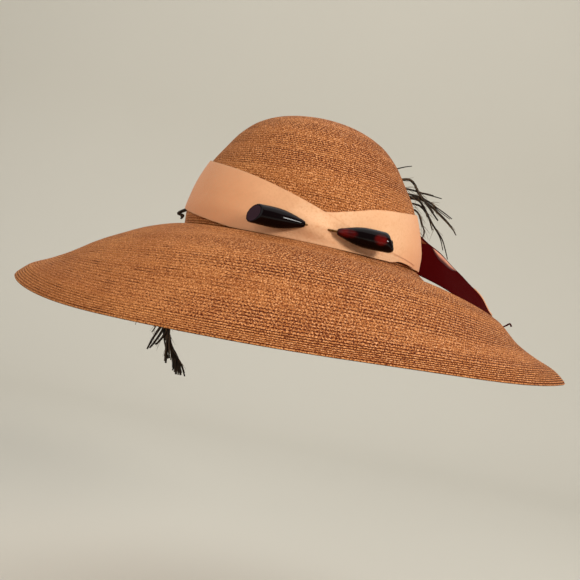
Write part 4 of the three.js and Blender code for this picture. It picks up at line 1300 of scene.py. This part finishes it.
def make_stage(colours, look):
    # The floor rises behind the hat in a quarter circle and ends as a wall, all in metres
    front, back, corner, wall = -2.2, 1.1, 0.7, 2.6
    bend = np.linspace(0, np.pi / 2, 17)[1:]
    y = np.concatenate([np.linspace(front, back, 8), back + corner * np.sin(bend), [back + corner] * 3])
    rise = np.concatenate([np.zeros(8), corner * (1 - np.cos(bend)), np.linspace(corner, wall, 4)[1:]])
    x = np.linspace(3, -3, 13)
    points = points_at(x[None, :], y[:, None], (rise + look.floor_height)[:, None]) / MM
    no_uv = np.zeros((len(y) - 1, len(x) - 1, 4))
    cove = lattice("pale_floor", points, no_uv, no_uv, materials=[plain_stage_material(colours.floor)])

    def area_light(name, power, size, height, place, tint=(1, 1, 1)):
        """A lamp that points at the hat."""
        light = bpy.data.lights.new(name, "AREA")
        light.energy = power
        light.shape = "RECTANGLE"
        light.size = size
        light.size_y = height
        light.color = tint
        lamp = add_object(name, light)
        lamp.location = place
        lamp.rotation_euler = (-Vector(place)).to_track_quat("-Z", "Y").to_euler()

    area_light("key_light", look.key_power, 0.62, 0.34, (1.22, -1.38, 0.6), (1, 0.97, 0.93))
    area_light("fill_light", look.fill_power, 2.6, 2.6, (-1.4, -1.2, 0.5))
    area_light("top_light", look.top_power, 3, 3, (0.1, 0.3, 1.7))
    world = bpy.data.worlds.new("even_light")
    world.use_nodes = True
    sky = world.node_tree.nodes["Background"]
    sky.inputs["Color"].default_value = (0.95, 0.96, 1, 1)
    sky.inputs["Strength"].default_value = look.sky
    bpy.context.scene.world = world
    bpy.context.scene.view_settings.view_transform = "Standard"

    yaw, pitch, roll = (math.radians(CAMERA[k]) for k in ("yaw", "pitch", "roll"))
    ahead = Vector((math.sin(yaw) * math.cos(pitch), math.cos(yaw) * math.cos(pitch), math.sin(pitch)))
    level = Vector((math.cos(yaw), -math.sin(yaw), 0))
    upright = level.cross(ahead)
    right = level * math.cos(roll) + upright * math.sin(roll)
    up = upright * math.cos(roll) - level * math.sin(roll)
    data = bpy.data.cameras.new("photo_view")
    data.lens = CAMERA["lens"]
    data.sensor_width = 36
    camera = add_object("photo_view", data)
    matrix = Matrix((right, up, -ahead)).transposed().to_4x4()
    matrix.translation = Vector([CAMERA[k] for k in "xyz"]) * MM
    camera.matrix_world = matrix
    bpy.context.scene.camera = camera


# Operators, one for each piece or group of pieces


class HAT_OT_crown(bpy.types.Operator):
    """Crown of sewn straw rows"""
    bl_idname = "hat.crown"
    bl_label = "Straw crown"

    def execute(self, context):
        make_crown(context.scene.hat_sizes, context.scene.hat_colours)
        return {"FINISHED"}


class HAT_OT_brim(bpy.types.Operator):
    """Drooping brim of sewn straw rows, with the lap that holds the crown"""
    bl_idname = "hat.brim"
    bl_label = "Straw brim"

    def execute(self, context):
        make_brim(context.scene.hat_sizes, context.scene.hat_colours)
        return {"FINISHED"}


class HAT_OT_band(bpy.types.Operator):
    """Ribbon band that crosses over itself at the back"""
    bl_idname = "hat.band"
    bl_label = "Ribbon band"

    def execute(self, context):
        make_band(context.scene.hat_sizes, context.scene.hat_colours)
        return {"FINISHED"}


class HAT_OT_wrap(bpy.types.Operator):
    """Short ribbon wrap that holds the plume and the tail"""
    bl_idname = "hat.wrap"
    bl_label = "Ribbon wrap"

    def execute(self, context):
        make_wrap(context.scene.hat_sizes, context.scene.hat_colours)
        return {"FINISHED"}


class HAT_OT_tail(bpy.types.Operator):
    """Loose ribbon end with its turned lip and frayed cut"""
    bl_idname = "hat.tail"
    bl_label = "Ribbon tail"

    def execute(self, context):
        make_tail(context.scene.hat_sizes, context.scene.hat_colours)
        return {"FINISHED"}


class HAT_OT_pin(bpy.types.Operator):
    """Double-ended pin: two resin heads and a brass wire"""
    bl_idname = "hat.pin"
    bl_label = "Double-ended pin"

    def execute(self, context):
        make_pin(context.scene.hat_colours)
        return {"FINISHED"}


class HAT_OT_plume(bpy.types.Operator):
    """Plume: quill, stem, barbs and hanging strands"""
    bl_idname = "hat.plume"
    bl_label = "Plume"

    def execute(self, context):
        make_plume(context.scene.hat_sizes, context.scene.hat_colours)
        return {"FINISHED"}


class HAT_OT_stage(bpy.types.Operator):
    """Pale floor, soft light and camera"""
    bl_idname = "hat.stage"
    bl_label = "Stage"

    def execute(self, context):
        make_stage(context.scene.hat_colours, context.scene.hat_stage)
        return {"FINISHED"}


OPERATORS = (HAT_OT_crown, HAT_OT_brim, HAT_OT_band, HAT_OT_wrap, HAT_OT_tail, HAT_OT_pin, HAT_OT_plume,
             HAT_OT_stage)


class HAT_PT_panel(bpy.types.Panel):
    """Lists the pieces of the hat"""
    bl_idname = "HAT_PT_panel"
    bl_label = "Straw hat"
    bl_space_type = "VIEW_3D"
    bl_region_type = "UI"
    bl_category = "Hat"

    def draw(self, context):
        column = self.layout.column()
        for group in (context.scene.hat_sizes, context.scene.hat_colours, context.scene.hat_stage):
            for name in group.__annotations__:
                column.prop(group, name)
        for operator in OPERATORS:
            column.operator(operator.bl_idname)


CLASSES = (HatSizes, HatColours, HatStage, *OPERATORS, HAT_PT_panel)


def register():
    for cls in CLASSES:
        bpy.utils.register_class(cls)
    bpy.types.Scene.hat_sizes = PointerProperty(type=HatSizes)
    bpy.types.Scene.hat_colours = PointerProperty(type=HatColours)
    bpy.types.Scene.hat_stage = PointerProperty(type=HatStage)


def unregister():
    for name in ("hat_sizes", "hat_colours", "hat_stage"):
        delattr(bpy.types.Scene, name)
    for cls in reversed(CLASSES):
        bpy.utils.unregister_class(cls)


def main():
    register()
    for step in (bpy.ops.hat.stage, bpy.ops.hat.crown, bpy.ops.hat.brim, bpy.ops.hat.band, bpy.ops.hat.wrap,
                 bpy.ops.hat.tail, bpy.ops.hat.pin, bpy.ops.hat.plume):
        step()


if __name__ == "__main__":
    main()
